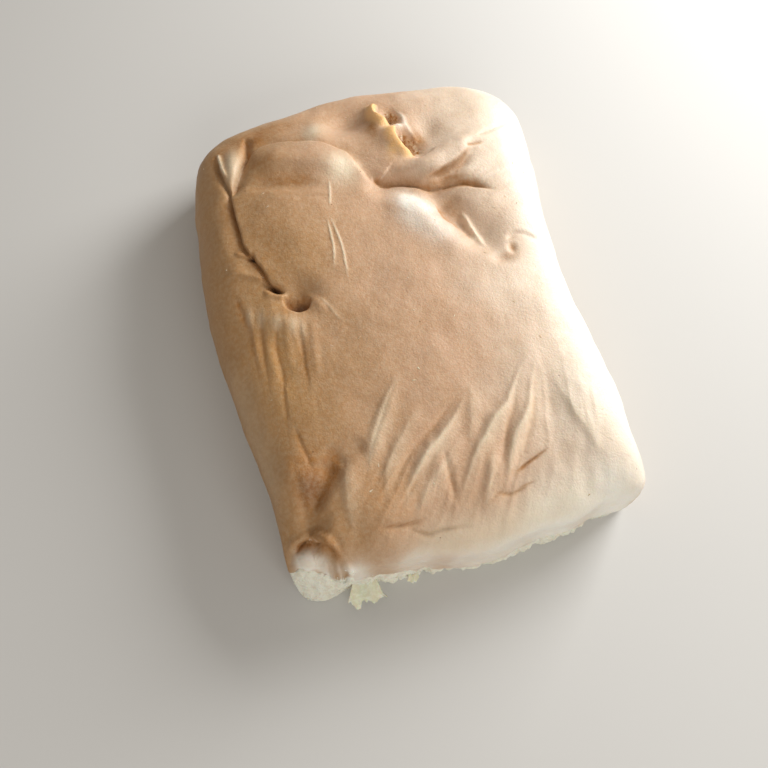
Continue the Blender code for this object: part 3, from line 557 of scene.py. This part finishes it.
def crumb_strip(places, normals):
    """How far the bare strip of crumb under the skin's near edge stands out, and where it is."""
    x, y, z = places.T
    frayed = 0.8 * wander(places, 2.6, SEED + 8) + 0.5 * wander(places, 7.0, SEED + 11)
    ends_at = np.interp(x, *np.array(SKIN_ENDS, float).T) + frayed
    faces_near = smoothstep(0.1, 0.45, -normals[:, 1]) * smoothstep(-60.0, -66.0, y)
    faces_near *= smoothstep(-40.0, -35.0, x)
    bare = faces_near * smoothstep(0.4, -0.4, z - ends_at)
    skin_end = faces_near * np.exp(-((z - ends_at - 1.3) / 1.1) ** 2)
    return STRIP_STANDS_OUT * bare + SKIN_END_STANDS_OUT * skin_end, bare


def knob(skin):
    """The rolled end of the torn skin on the near left corner, under an arch of skin and a slit."""
    skin.fold([(-46.8, -65.5), (-44.6, -63.4), (-42.0, -62.4), (-39.2, -62.8), (-36.6, -64.7),
               (-34.6, -67.5), (-32.9, -71.0)], 0.8, 1.3, 1.1, fade=0.25)
    # The hollow under the arch and the slit below it are brown, partly browning and partly painted
    # shade.
    above = [(-41.8, -60.6), (-38.6, -61.4), (-36.0, -63.2), (-33.6, -66.9), (-32.0, -70.4)]
    skin.fold(above, -0.45, 1.4, 0.8, fade=0.3, tone="browning_and_shade", strength=0.45)
    slit = [(-44.8, -66.2), (-43.3, -64.9), (-41.6, -64.4), (-39.3, -64.9), (-37.6, -66.4),
            (-35.4, -68.9), (-33.8, -71.0)]
    skin.fold(slit, -1.3, 1.0, 0.9, fade=0.2, steady=0.5)
    skin.fold(slit[:5], 0.0, 1.0, 0.9, fade=0.25, tone="browning_and_shade", strength=1.3, steady=0.5)
    skin.fold([(-39.3, -64.9), (-37.0, -66.8), (-34.8, -69.4), (-32.0, -72.2)], 0.0, 2.2, 1.2,
              fade=0.3, tone="browning_and_shade", strength=1.1, steady=0.5)
    skin.fold(slit[:5], -0.7, 0.5, fade=0.35, tone="crease", strength=0.4, steady=0.4)
    skin.swell((-41.4, -67.4), (3.0, 2.3), 1.9, turn=15)
    skin.swell((-42.0, -68.3), (3.0, 2.6), 0.0, tone="pale", strength=1.6)
    roll = [(-41.6, -67.6), (-39.4, -68.2), (-37.4, -69.6), (-35.7, -71.6), (-34.0, -72.8),
            (-31.8, -73.8), (-29.0, -74.6)]
    skin.fold(roll, 1.1, 1.3, 1.4, fade=0.2, steady=0.5)
    skin.fold(roll, 0.0, 1.0, 2.6, fade=0.15, tone="pale", strength=1.5, steady=0.5)
    skin.swell((-33.2, -75.6), (2.8, 1.5), 0.0, turn=-15, tone="crumb", strength=1.4)
    skin.fold([(-40.6, -63.8), (-39.4, -64.1), (-38.2, -64.9)], 0.5, 0.4, tone="pale", strength=1.8)


bread = grown("bread_skin", dough_block_tree())
skin_mesh = bread.data
move_to(skin_mesh, pillow(places_of(skin_mesh)))

# The broad forms come first, which fade out down the walls, with soft lumps in the dough all
# over, and then the torn corner.
places, normals = places_of(skin_mesh), normals_of(skin_mesh)
forms = Skin(places)
broad_forms(forms)
upper = smoothstep(0.0, 0.55, normals[:, 2])
lumps = 0.7 * wander(places, 24.0, SEED + 5) + 0.4 * wander(places, 9.0, SEED + 6)
lumps += 0.15 * wander(places, 4.0, SEED + 7)
places, bare = tear_corner(places + normals * (forms.rise * upper + lumps)[:, None])
move_to(skin_mesh, places)

# Then come the creases and folds of the top, the ragged crumb in the blister's two holes and
# under the near edge, and the walls' sag: faint level wrinkles, five times as long as high.
SAG_DEPTH = 0.26
SAG_APART = 3.4
SAG_STRETCH = (5.0, 5.0, 1.0)
normals = normals_of(skin_mesh)
folds = Skin(places)
long_crease(folds)
far_folds(folds)
near_wrinkles(folds)
browning_and_painted_light_patches(folds)
knob(folds)
upper = smoothstep(0.1, 0.5, normals[:, 2])
strip, bare_strip = crumb_strip(places, normals)
strip += CRUMB_ROUGHNESS * bare_strip * (wander(places, 3.0, SEED)
                                         + 0.6 * wander(places, 1.3, SEED + 4))
pit = np.clip(1.8 * folds.tones["pit"] - 0.6, 0.0, 1.0)
holes = pit * (0.7 * wander(places, 1.6, SEED + 9) + 0.5 * wander(places, 0.9, SEED + 10))
sag = crinkled(wander(places, SAG_APART, SEED + 40, SAG_STRETCH))
sag *= (SAG_DEPTH * (1.0 - upper) * smoothstep(1.0, 6.0, places[:, 2])
        * (1.0 - bare) * (1.0 - bare_strip))
rise = (folds.rise + holes) * upper + strip * (1.0 - bare) + sag
places = places + normals * rise[:, None]
places[:, :2] += folds.slide * upper[:, None]
move_to(skin_mesh, places)

# Each tone is kept as an attribute for the finish. The flanks that face right and the near side
# towards the right are whitened, partly flour and partly painted light on the side the window light
# falls on; an uneven band along the base is floured all round, and below it the right wall browned
# again.
tones = {name: np.clip(values * upper, 0.0, 1.0) for name, values in folds.tones.items()}
tones["pit"] = pit
tones["crumb"] = np.clip(bare + bare_strip + folds.tones["crumb"], 0.0, 1.0)
x, height = places[:, 0], places[:, 2]
faces_right, faces_far, faces_up = normals.T
tones["top"] = smoothstep(0.35, 0.95, faces_up)
near_share = 0.25 * smoothstep(-20.0, -8.0, x) + 0.75 * smoothstep(4.0, 34.0, x)
near_share += 0.35 * np.exp(-((x + 31.0) / 3.5) ** 2)
turned = smoothstep(-0.4, 0.4, 0.8 * faces_right - 0.8 * faces_far * near_share)
low = 0.5 * smoothstep(7.0, 1.0, height + 3.5 * wander(places, 13.0, SEED + 41))
tones["pale_and_lit_flank"] = smoothstep(0.9, 0.2, faces_up) * np.maximum(turned, low)
tones["wall"] = smoothstep(0.85, 0.1, faces_up) * smoothstep(-0.2, 0.8, faces_right)
tones["wall"] *= smoothstep(31.0, 14.0, height + 6.0 * wander(places, 15.0, SEED + 42))
for tone, values in tones.items():
    layer = skin_mesh.attributes.new(tone, "FLOAT", "POINT")
    layer.data.foreach_set("value", values.astype(np.float32))


def cut_base(mesh):
    """Cuts the underside flat at height 0 and closes it."""
    bm = bmesh.new()
    bm.from_mesh(mesh)
    everything = bm.verts[:] + bm.edges[:] + bm.faces[:]
    cut = bmesh.ops.bisect_plane(bm, geom=everything, dist=1e-6, plane_co=(0, 0, 0),
                                 plane_no=(0, 0, 1), clear_inner=True)
    rim = [e for e in cut["geom_cut"] if isinstance(e, bmesh.types.BMEdge)]
    bmesh.ops.holes_fill(bm, edges=rim)
    bmesh.ops.triangulate(bm, faces=bm.faces[:])
    bmesh.ops.recalc_face_normals(bm, faces=bm.faces[:])
    bm.to_mesh(mesh)
    bm.free()


# With its base cut and its triangles thinned out, the skin is set against the CAD's own box.
cut_base(skin_mesh)
thinner = bread.modifiers.new("fewer triangles", "DECIMATE")
thinner.ratio = SKIN_TRIANGLES / len(skin_mesh.polygons)
plain(bread)
places = places_of(bread.data)
places[places[:, 2] < 0.05, 2] = 0.0
cad_low, cad_high = (np.array(corner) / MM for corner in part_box("coco_bread"))
shift = np.array([0.5 * (cad_low[0] + cad_high[0] - places[:, 0].min() - places[:, 0].max()),
                  cad_high[1] - places[:, 1].max(), 0.0])
move_to(bread.data, (places + shift) * MM)
bread.data.shade_smooth()

# The baked skin's finish: dry, matt and thin, tan and blotched on the crown, whitened on the right
# partly by flour and partly with painted light, with painted shade in the creases and painted
# highlights on the crests, orange where it blistered, and white crumb where it is torn.


class Signal:
    """One output of a shader node. Python's own operators on it add Math nodes."""

    def __init__(self, tree, socket):
        self.tree = tree
        self.socket = socket

    def add(self, kind, settings, sockets, output=0):
        """Adds a node, with its settings first and then its sockets' values or links."""
        node = self.tree.nodes.new(kind)
        for name, value in settings.items():
            setattr(node, name, value)
        for name, value in sockets.items():
            if isinstance(value, Signal):
                self.tree.links.new(value.socket, node.inputs[name])
            else:
                node.inputs[name].default_value = value
        return Signal(self.tree, node.outputs[output])

    def maths(self, operation, *values):
        return self.add("ShaderNodeMath", {"operation": operation}, dict(enumerate(values)))

    def __add__(self, other):
        return self.maths("ADD", self, other)

    def __sub__(self, other):
        return self.maths("SUBTRACT", self, other)

    def __rsub__(self, other):
        return self.maths("SUBTRACT", other, self)

    def __mul__(self, other):
        return self.maths("MULTIPLY", self, other)

    __radd__ = __add__
    __rmul__ = __mul__

    def ramp(self, low, high):
        """0 at low, 1 at high, smooth between."""
        return self.add("ShaderNodeMapRange", {"interpolation_type": "SMOOTHSTEP"},
                        {"Value": self, "From Min": low, "From Max": high})

    def blend(self, under, over):
        """Colour under where this is 0, colour over where it is 1."""
        return self.add("ShaderNodeMix", {"data_type": "RGBA"}, {0: self, 6: under, 7: over}, 2)

    def grain(self, size_mm, detail=2.0, rough=0.5):
        """Noise of the given lump size, about 0.5 in the middle."""
        return self.add("ShaderNodeTexNoise", {"noise_dimensions": "3D"},
                        {"Vector": self, "Scale": 1000.0 / size_mm, "Detail": detail,
                         "Roughness": rough})

    def dots(self, apart_mm, radius_mm):
        """Small round dots scattered on average so far apart."""
        return self.add("ShaderNodeTexVoronoi", {"feature": "F1"},
                        {"Vector": self, "Scale": 1000.0 / apart_mm}
                        ).ramp(radius_mm / apart_mm, 0.5 * radius_mm / apart_mm)

    def attribute(self, name):
        return self.add("ShaderNodeAttribute", {"attribute_name": name}, {}, 2)

    def feed(self, shader, name):
        self.tree.links.new(self.socket, shader.inputs[name])


def new_finish(name, rough, subsurface, depth_mm):
    """A material with its Principled shader's fixed numbers, and where its coordinates start."""
    material = bpy.data.materials.new(name)
    material.use_nodes = True
    tree = material.node_tree
    shader = tree.nodes["Principled BSDF"]
    shader.inputs["Roughness"].default_value = rough
    shader.inputs["Subsurface Weight"].default_value = subsurface
    shader.inputs["Subsurface Radius"].default_value = (1.0, 0.5, 0.25)
    shader.inputs["Subsurface Scale"].default_value = depth_mm * MM
    shader.inputs["IOR"].default_value = 1.4
    coordinates = tree.nodes.new("ShaderNodeTexCoord")
    return material, shader, Signal(tree, coordinates.outputs["Object"])


OCHRE = (0.45, 0.25, 0.105, 1)
TAN = (0.61, 0.39, 0.25, 1)
PALE_TAN = (0.86, 0.79, 0.67, 1)
BROWN = (0.40, 0.18, 0.05, 1)
CREAM = (0.90, 0.81, 0.62, 1)
PAINTED_SHADE = (0.16, 0.06, 0.015, 1)
ORANGE = (0.92, 0.55, 0.21, 1)
FLOUR_AND_LIGHT = (0.86, 0.845, 0.785, 1)
WALL_TAN = (0.53, 0.40, 0.265, 1)
PALE_SKIN_AND_LIGHT = (0.93, 0.915, 0.845, 1)
WHITE_CRUMB = (0.88, 0.89, 0.78, 1)
PIT_CRUMB = (0.70, 0.54, 0.38, 1)


def skin_finish():
    """Ochre on the left to pale tan on the right, partly browning and partly painted shade and
    light, with each tone over it by its attribute.
    """
    material, shader, spot = new_finish("baked skin", 0.55, 0.12, 2.5)
    tone = {name: spot.attribute(name) for name in (*TONES, "top", "pale_and_lit_flank", "wall")}
    across = spot.add("ShaderNodeSeparateXYZ", {}, {"Vector": spot})
    clouds = spot.grain(30.0, 3.0)
    patches = spot.grain(11.0, 3.0, 0.6).ramp(0.35, 0.7)
    speckle = spot.grain(1.3, 4.0, 0.65).ramp(0.35, 0.7)
    # Darker ochre on the left and pale tan on the right: partly the skin's own browning, partly
    # painted shade on the side away from the window light and painted light on the side it falls
    # on.
    side = across * 1000.0 + 40.0 * (clouds - 0.5)
    colour = side.ramp(-40.0, 4.0).blend(OCHRE, TAN)
    colour = (side.ramp(8.0, 52.0) * 0.9).blend(colour, PALE_TAN)
    colour = (patches * 0.2).blend(colour, OCHRE)
    dusting = spot.grain(5.0, 4.0, 0.65).ramp(0.38, 0.66)
    # White on the right-facing flanks: partly flour, partly painted light.
    flour_and_light = (dusting * 0.4).blend(FLOUR_AND_LIGHT, PALE_TAN)
    colour = (tone["pale_and_lit_flank"] * (0.7 + 0.5 * clouds)).blend(colour, flour_and_light)
    colour = (tone["wall"] * (0.78 + 0.22 * patches)).blend(colour, WALL_TAN)
    # Pale skin, and painted light on the bright bank below the main fold, on the blister's rims and
    # on the right rim.
    colour = (tone["pale"] * (0.55 + 0.4 * patches)).blend(colour, PALE_SKIN_AND_LIGHT)
    # Brown: partly the oven's browning, partly painted shade in hollows, under folds and on shaded
    # slopes.
    colour = (tone["browning_and_shade"] * (0.65 + 0.5 * patches)).ramp(0.0, 1.1).blend(colour, BROWN)
    # Painted shade: deep brown down in the creases, pockets and shaded hollows.
    colour = tone["crease"].ramp(0.2, 1.0).blend(colour, PAINTED_SHADE)
    colour = (tone["lip"] * 0.9).blend(colour, ORANGE)
    # Painted highlights: cream on the lit crests, ridges and slopes, which are also a little
    # glossier.
    colour = (tone["painted_highlight"] * 0.7).blend(colour, CREAM)
    colour = (speckle * 0.12).blend(colour, CREAM)
    crumbs = spot.grain(1.0, 3.0, 0.7).ramp(0.35, 0.65)
    # The blister's holes show crumb, brown and darker: partly browning, partly painted shade.
    colour = tone["pit"].ramp(0.3, 0.7).blend(colour, crumbs.blend(BROWN, PIT_CRUMB))
    # Darker spots over the crumb: painted shade in its air holes.
    airy = spot.grain(2.2, 3.0, 0.6).ramp(0.45, 0.7)
    crumb_colour = (crumbs * 0.3).blend(WHITE_CRUMB, CREAM)
    crumb_colour = (airy * 0.35).blend(crumb_colour, PIT_CRUMB)
    colour = tone["crumb"].ramp(0.35, 0.65).blend(colour, crumb_colour)
    # Dark dots over the top: painted shade of pinholes in the skin.
    colour = (spot.dots(9.0, 0.28) * 0.7 * tone["top"]).blend(colour, PAINTED_SHADE)
    colour.feed(shader, "Base Color")
    (0.44 + 0.2 * speckle + 0.3 * tone["crumb"] - 0.08 * tone["painted_highlight"]).feed(shader, "Roughness")
    height = spot.grain(1.1, 3.0, 0.6) * 0.6 + spot.grain(0.5, 2.0, 0.5) * 0.4
    height = height + tone["crumb"] * spot.grain(0.8, 4.0, 0.7) * 2.0
    spot.add("ShaderNodeBump", {}, {"Height": height, "Distance": 0.0003, "Strength": 0.8}
             ).feed(shader, "Normal")
    return material


bread.data.materials.clear()
bread.data.materials.append(skin_finish())
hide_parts("coco_bread")
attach(bread, "root")

# The torn skin's loose scraps: paper-thin, ragged and half clear, curled where they dried.
# Each hangs from the skin's torn edge and droops over the crumb towards the board. Its row
# gives its root, its tip, its width at each, and how many teeth its torn end has.
SCRAPS = (
    ("torn_scrap", (-28.4, -73.8, 9.5), (-28.8, -81.0, 2.4), 4.6, 10.0, 5),
    ("small_torn_scrap", (-15.0, -75.0, 9.0), (-15.2, -78.6, 6.6), 1.6, 3.4, 3),
)
SCRAP_THICKNESS = 0.35
SCRAP_SQUARES = 44
SCRAP_ARCH = 0.9
SCRAP_RIPPLE = 0.9
SCRAP_TROUGH = 0.5


def torn_scrap(name, root, tip, root_width, tip_width, teeth):
    """A curled sheet that widens from its root to a ragged tip with so many teeth."""
    root, tip = np.array(root), np.array(tip)
    aside = np.cross(tip - root, (0.0, 0.0, 1.0))
    aside /= np.linalg.norm(aside)
    own = len(name)
    bm = bmesh.new()
    bmesh.ops.create_grid(bm, x_segments=SCRAP_SQUARES, y_segments=SCRAP_SQUARES, size=1.0)
    for vert in bm.verts:
        side, along = vert.co.x, (vert.co.y + 1) / 2
        tooth = noise.noise(Vector((side * teeth * 0.55, own * 1.7, 0.3)))
        tooth += 0.5 * noise.noise(Vector((side * teeth * 1.7, own * 1.7, 4.1)))
        length = along * (0.92 + 0.26 * tooth * along)
        edge = noise.noise(Vector((along * 2.6, side * 0.6, own * 2.3)))
        width = (root_width + (tip_width - root_width) * along ** 0.7) * (1 + 0.3 * edge * along)
        place = root + (tip - root) * length + aside * side * width / 2
        ripple = noise.noise(Vector((side * 1.5, along * 1.5, own * 0.9)))
        place[2] += (SCRAP_ARCH * math.sin(math.pi * 0.8 * along) + SCRAP_RIPPLE * ripple * along
                     + SCRAP_TROUGH * side ** 2 * along)
        place[2] = max(place[2], SCRAP_THICKNESS)
        vert.co = (place + shift) * MM
    mesh = bpy.data.meshes.new(name)
    bm.to_mesh(mesh)
    bm.free()
    scrap = bpy.data.objects.new(name, mesh)
    bpy.context.scene.collection.objects.link(scrap)
    wall = scrap.modifiers.new("thickness", "SOLIDIFY")
    wall.thickness = SCRAP_THICKNESS * MM
    wall.offset = 0.0
    plain(scrap)
    scrap.data.shade_smooth()
    return scrap


def scrap_finish():
    material, shader, spot = new_finish("torn skin scrap", 0.5, 0.5, 1.5)
    veins = spot.grain(1.6, 3.0, 0.6).ramp(0.35, 0.7)
    colour = veins.blend((0.72, 0.68, 0.50, 1), (0.84, 0.83, 0.68, 1))
    colour.feed(shader, "Base Color")
    (0.35 + 0.25 * veins).feed(shader, "Roughness")
    height = spot.grain(0.8, 3.0, 0.6)
    spot.add("ShaderNodeBump", {}, {"Height": height, "Distance": 0.0002, "Strength": 0.6}
             ).feed(shader, "Normal")
    return material


thin_skin = scrap_finish()
for sizes in SCRAPS:
    scrap = torn_scrap(*sizes)
    scrap.data.materials.append(thin_skin)
    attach(scrap, "root")

# Loose bits: dry specks of flour and crust that stuck to the skin in the oven, and grains of
# crumb that stand out from the torn corner. They are scattered over the bread's own faces.
SPECKS_PER_M2 = 2600.0
GRAINS_PER_M2 = 300000.0


def scatter_tree(name, where):
    """Small lumps scattered over a mesh, as dense as its attribute says."""
    tree = bpy.data.node_groups.new(name, "GeometryNodeTree")
    link, new = tree.links.new, tree.nodes.new
    for socket, kind in (("Ground", "Geometry"), ("Per square metre", "Float"),
                         ("Smallest", "Vector"), ("Largest", "Vector"), ("Seed", "Int"),
                         ("Finish", "Material")):
        tree.interface.new_socket(socket, in_out="INPUT", socket_type=f"NodeSocket{kind}")
    tree.interface.new_socket("Bits", in_out="OUTPUT", socket_type="NodeSocketGeometry")
    inside, outside = new("NodeGroupInput"), new("NodeGroupOutput")
    place = new("GeometryNodeInputNamedAttribute")
    place.data_type = "FLOAT"
    place.inputs["Name"].default_value = where
    dense = new("ShaderNodeMath")
    dense.operation = "MULTIPLY"
    link(place.outputs["Attribute"], dense.inputs[0])
    link(inside.outputs["Per square metre"], dense.inputs[1])
    spread = new("GeometryNodeDistributePointsOnFaces")
    link(inside.outputs["Ground"], spread.inputs["Mesh"])
    link(dense.outputs[0], spread.inputs["Density"])
    link(inside.outputs["Seed"], spread.inputs["Seed"])
    lump = new("GeometryNodeMeshIcoSphere")
    lump.inputs["Radius"].default_value = MM
    lump.inputs["Subdivisions"].default_value = 1
    stretch = new("FunctionNodeRandomValue")
    stretch.data_type = "FLOAT_VECTOR"
    link(inside.outputs["Smallest"], stretch.inputs[0])
    link(inside.outputs["Largest"], stretch.inputs[1])
    link(inside.outputs["Seed"], stretch.inputs["Seed"])
    spin = new("FunctionNodeRandomValue")
    spin.data_type = "FLOAT"
    spin.inputs[3].default_value = math.tau
    turn = new("FunctionNodeRotateRotation")
    turn.rotation_space = "LOCAL"
    about = new("FunctionNodeAxisAngleToRotation")
    link(spin.outputs[1], about.inputs["Angle"])
    link(spread.outputs["Rotation"], turn.inputs["Rotation"])
    link(about.outputs["Rotation"], turn.inputs["Rotate By"])
    put = new("GeometryNodeInstanceOnPoints")
    link(spread.outputs["Points"], put.inputs["Points"])
    link(lump.outputs["Mesh"], put.inputs["Instance"])
    link(turn.outputs["Rotation"], put.inputs["Rotation"])
    link(stretch.outputs[0], put.inputs["Scale"])
    real = new("GeometryNodeRealizeInstances")
    link(put.outputs["Instances"], real.inputs["Geometry"])
    paint = new("GeometryNodeSetMaterial")
    link(real.outputs["Geometry"], paint.inputs["Geometry"])
    link(inside.outputs["Finish"], paint.inputs["Material"])
    link(paint.outputs["Geometry"], outside.inputs["Bits"])
    return tree


def bit_finish(name, dark, pale):
    material, shader, spot = new_finish(name, 0.6, 0.2, 0.8)
    mix = spot.grain(1.2, 2.0).ramp(0.35, 0.65)
    mix.blend(dark, pale).feed(shader, "Base Color")
    (0.5 + 0.2 * mix).feed(shader, "Roughness")
    return material


specks = grown("skin_specks", scatter_tree("specks", "top"), {
    "Per square metre": SPECKS_PER_M2, "Smallest": (0.12, 0.08, 0.04),
    "Largest": (0.75, 0.28, 0.12), "Seed": SEED,
    "Finish": bit_finish("dry specks", (0.55, 0.36, 0.20, 1), (0.84, 0.72, 0.54, 1))}, bread.data)
grains = grown("crumb_grains", scatter_tree("grains", "crumb"), {
    "Per square metre": GRAINS_PER_M2, "Smallest": (0.12, 0.12, 0.1),
    "Largest": (0.45, 0.38, 0.3), "Seed": SEED + 1,
    "Finish": bit_finish("crumb grains", (0.84, 0.80, 0.66, 1), WHITE_CRUMB)}, bread.data)
for bits in (specks, grains):
    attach(bits, "root")

# The stage: a pale floor, soft studio lights and the camera that the bread is seen from. The
# camera's aim and reach are in mm, like the bread's; the rest of the stage is in metres.
FLOOR_SIDE = 4.0
LIGHTS_AIM = (0.0, 0.0, 0.02)
SKY_COLOUR = (1.0, 0.92, 0.82, 1.0)
SKY_STRENGTH = 0.33
CAMERA_TURN = math.radians(-13.97)
CAMERA_TILT = math.radians(67.99)
CAMERA_REACH = 233.9
CAMERA_AIM = (-9.83, -22.76, 16.0)
LENS = 37.5
SENSOR_WIDTH = 36.0


def floor_finish():
    material, shader, spot = new_finish("floor", 0.85, 0.0, 1.0)
    cloud = spot.grain(600.0, 2.0)
    colour = cloud.ramp(0.2, 0.8).blend((0.64, 0.64, 0.63, 1), (0.67, 0.67, 0.66, 1))
    colour.feed(shader, "Base Color")
    return material


def add_floor():
    bm = bmesh.new()
    bmesh.ops.create_grid(bm, x_segments=1, y_segments=1, size=FLOOR_SIDE / 2)
    mesh = bpy.data.meshes.new("floor")
    bm.to_mesh(mesh)
    bm.free()
    mesh.materials.append(floor_finish())
    floor = bpy.data.objects.new("floor", mesh)
    bpy.context.scene.collection.objects.link(floor)


def soft_light(name, place, size, power, colour):
    light = bpy.data.lights.new(name, "AREA")
    light.shape = "RECTANGLE"
    light.size, light.size_y = size
    light.energy = power
    light.color = colour
    lamp = bpy.data.objects.new(name, light)
    bpy.context.scene.collection.objects.link(lamp)
    lamp.visible_camera = False
    lamp.location = place
    towards = Vector(LIGHTS_AIM) - Vector(place)
    lamp.rotation_euler = towards.to_track_quat("-Z", "Y").to_euler()


def add_camera():
    back = Vector((math.sin(CAMERA_TURN) * math.cos(CAMERA_TILT),
                   -math.cos(CAMERA_TURN) * math.cos(CAMERA_TILT), math.sin(CAMERA_TILT)))
    right = Vector((math.cos(CAMERA_TURN), math.sin(CAMERA_TURN), 0.0))
    above = back.cross(right)
    place = (Vector(CAMERA_AIM) + Vector(shift) + back * CAMERA_REACH) * MM
    data = bpy.data.cameras.new("camera")
    data.lens = LENS
    data.sensor_width = SENSOR_WIDTH
    data.clip_start = 0.01
    camera = bpy.data.objects.new("camera", data)
    turn = Matrix((right, above, back)).transposed().to_4x4()
    camera.matrix_world = Matrix.Translation(place) @ turn
    bpy.context.scene.collection.objects.link(camera)
    bpy.context.scene.camera = camera


add_floor()
soft_light("window", (0.42, 0.20, 0.25), (0.28, 0.28), 3.5, (1.0, 0.985, 0.96))
soft_light("near fill", (0.10, -0.7, 0.40), (0.6, 0.4), 2.2, (1.0, 0.97, 0.92))
add_camera()
world = bpy.data.worlds.new("studio")
bpy.context.scene.world = world
world.use_nodes = True
sky = world.node_tree.nodes["Background"]
sky.inputs["Color"].default_value = SKY_COLOUR
sky.inputs["Strength"].default_value = SKY_STRENGTH
bpy.context.scene.view_settings.view_transform = "Standard"
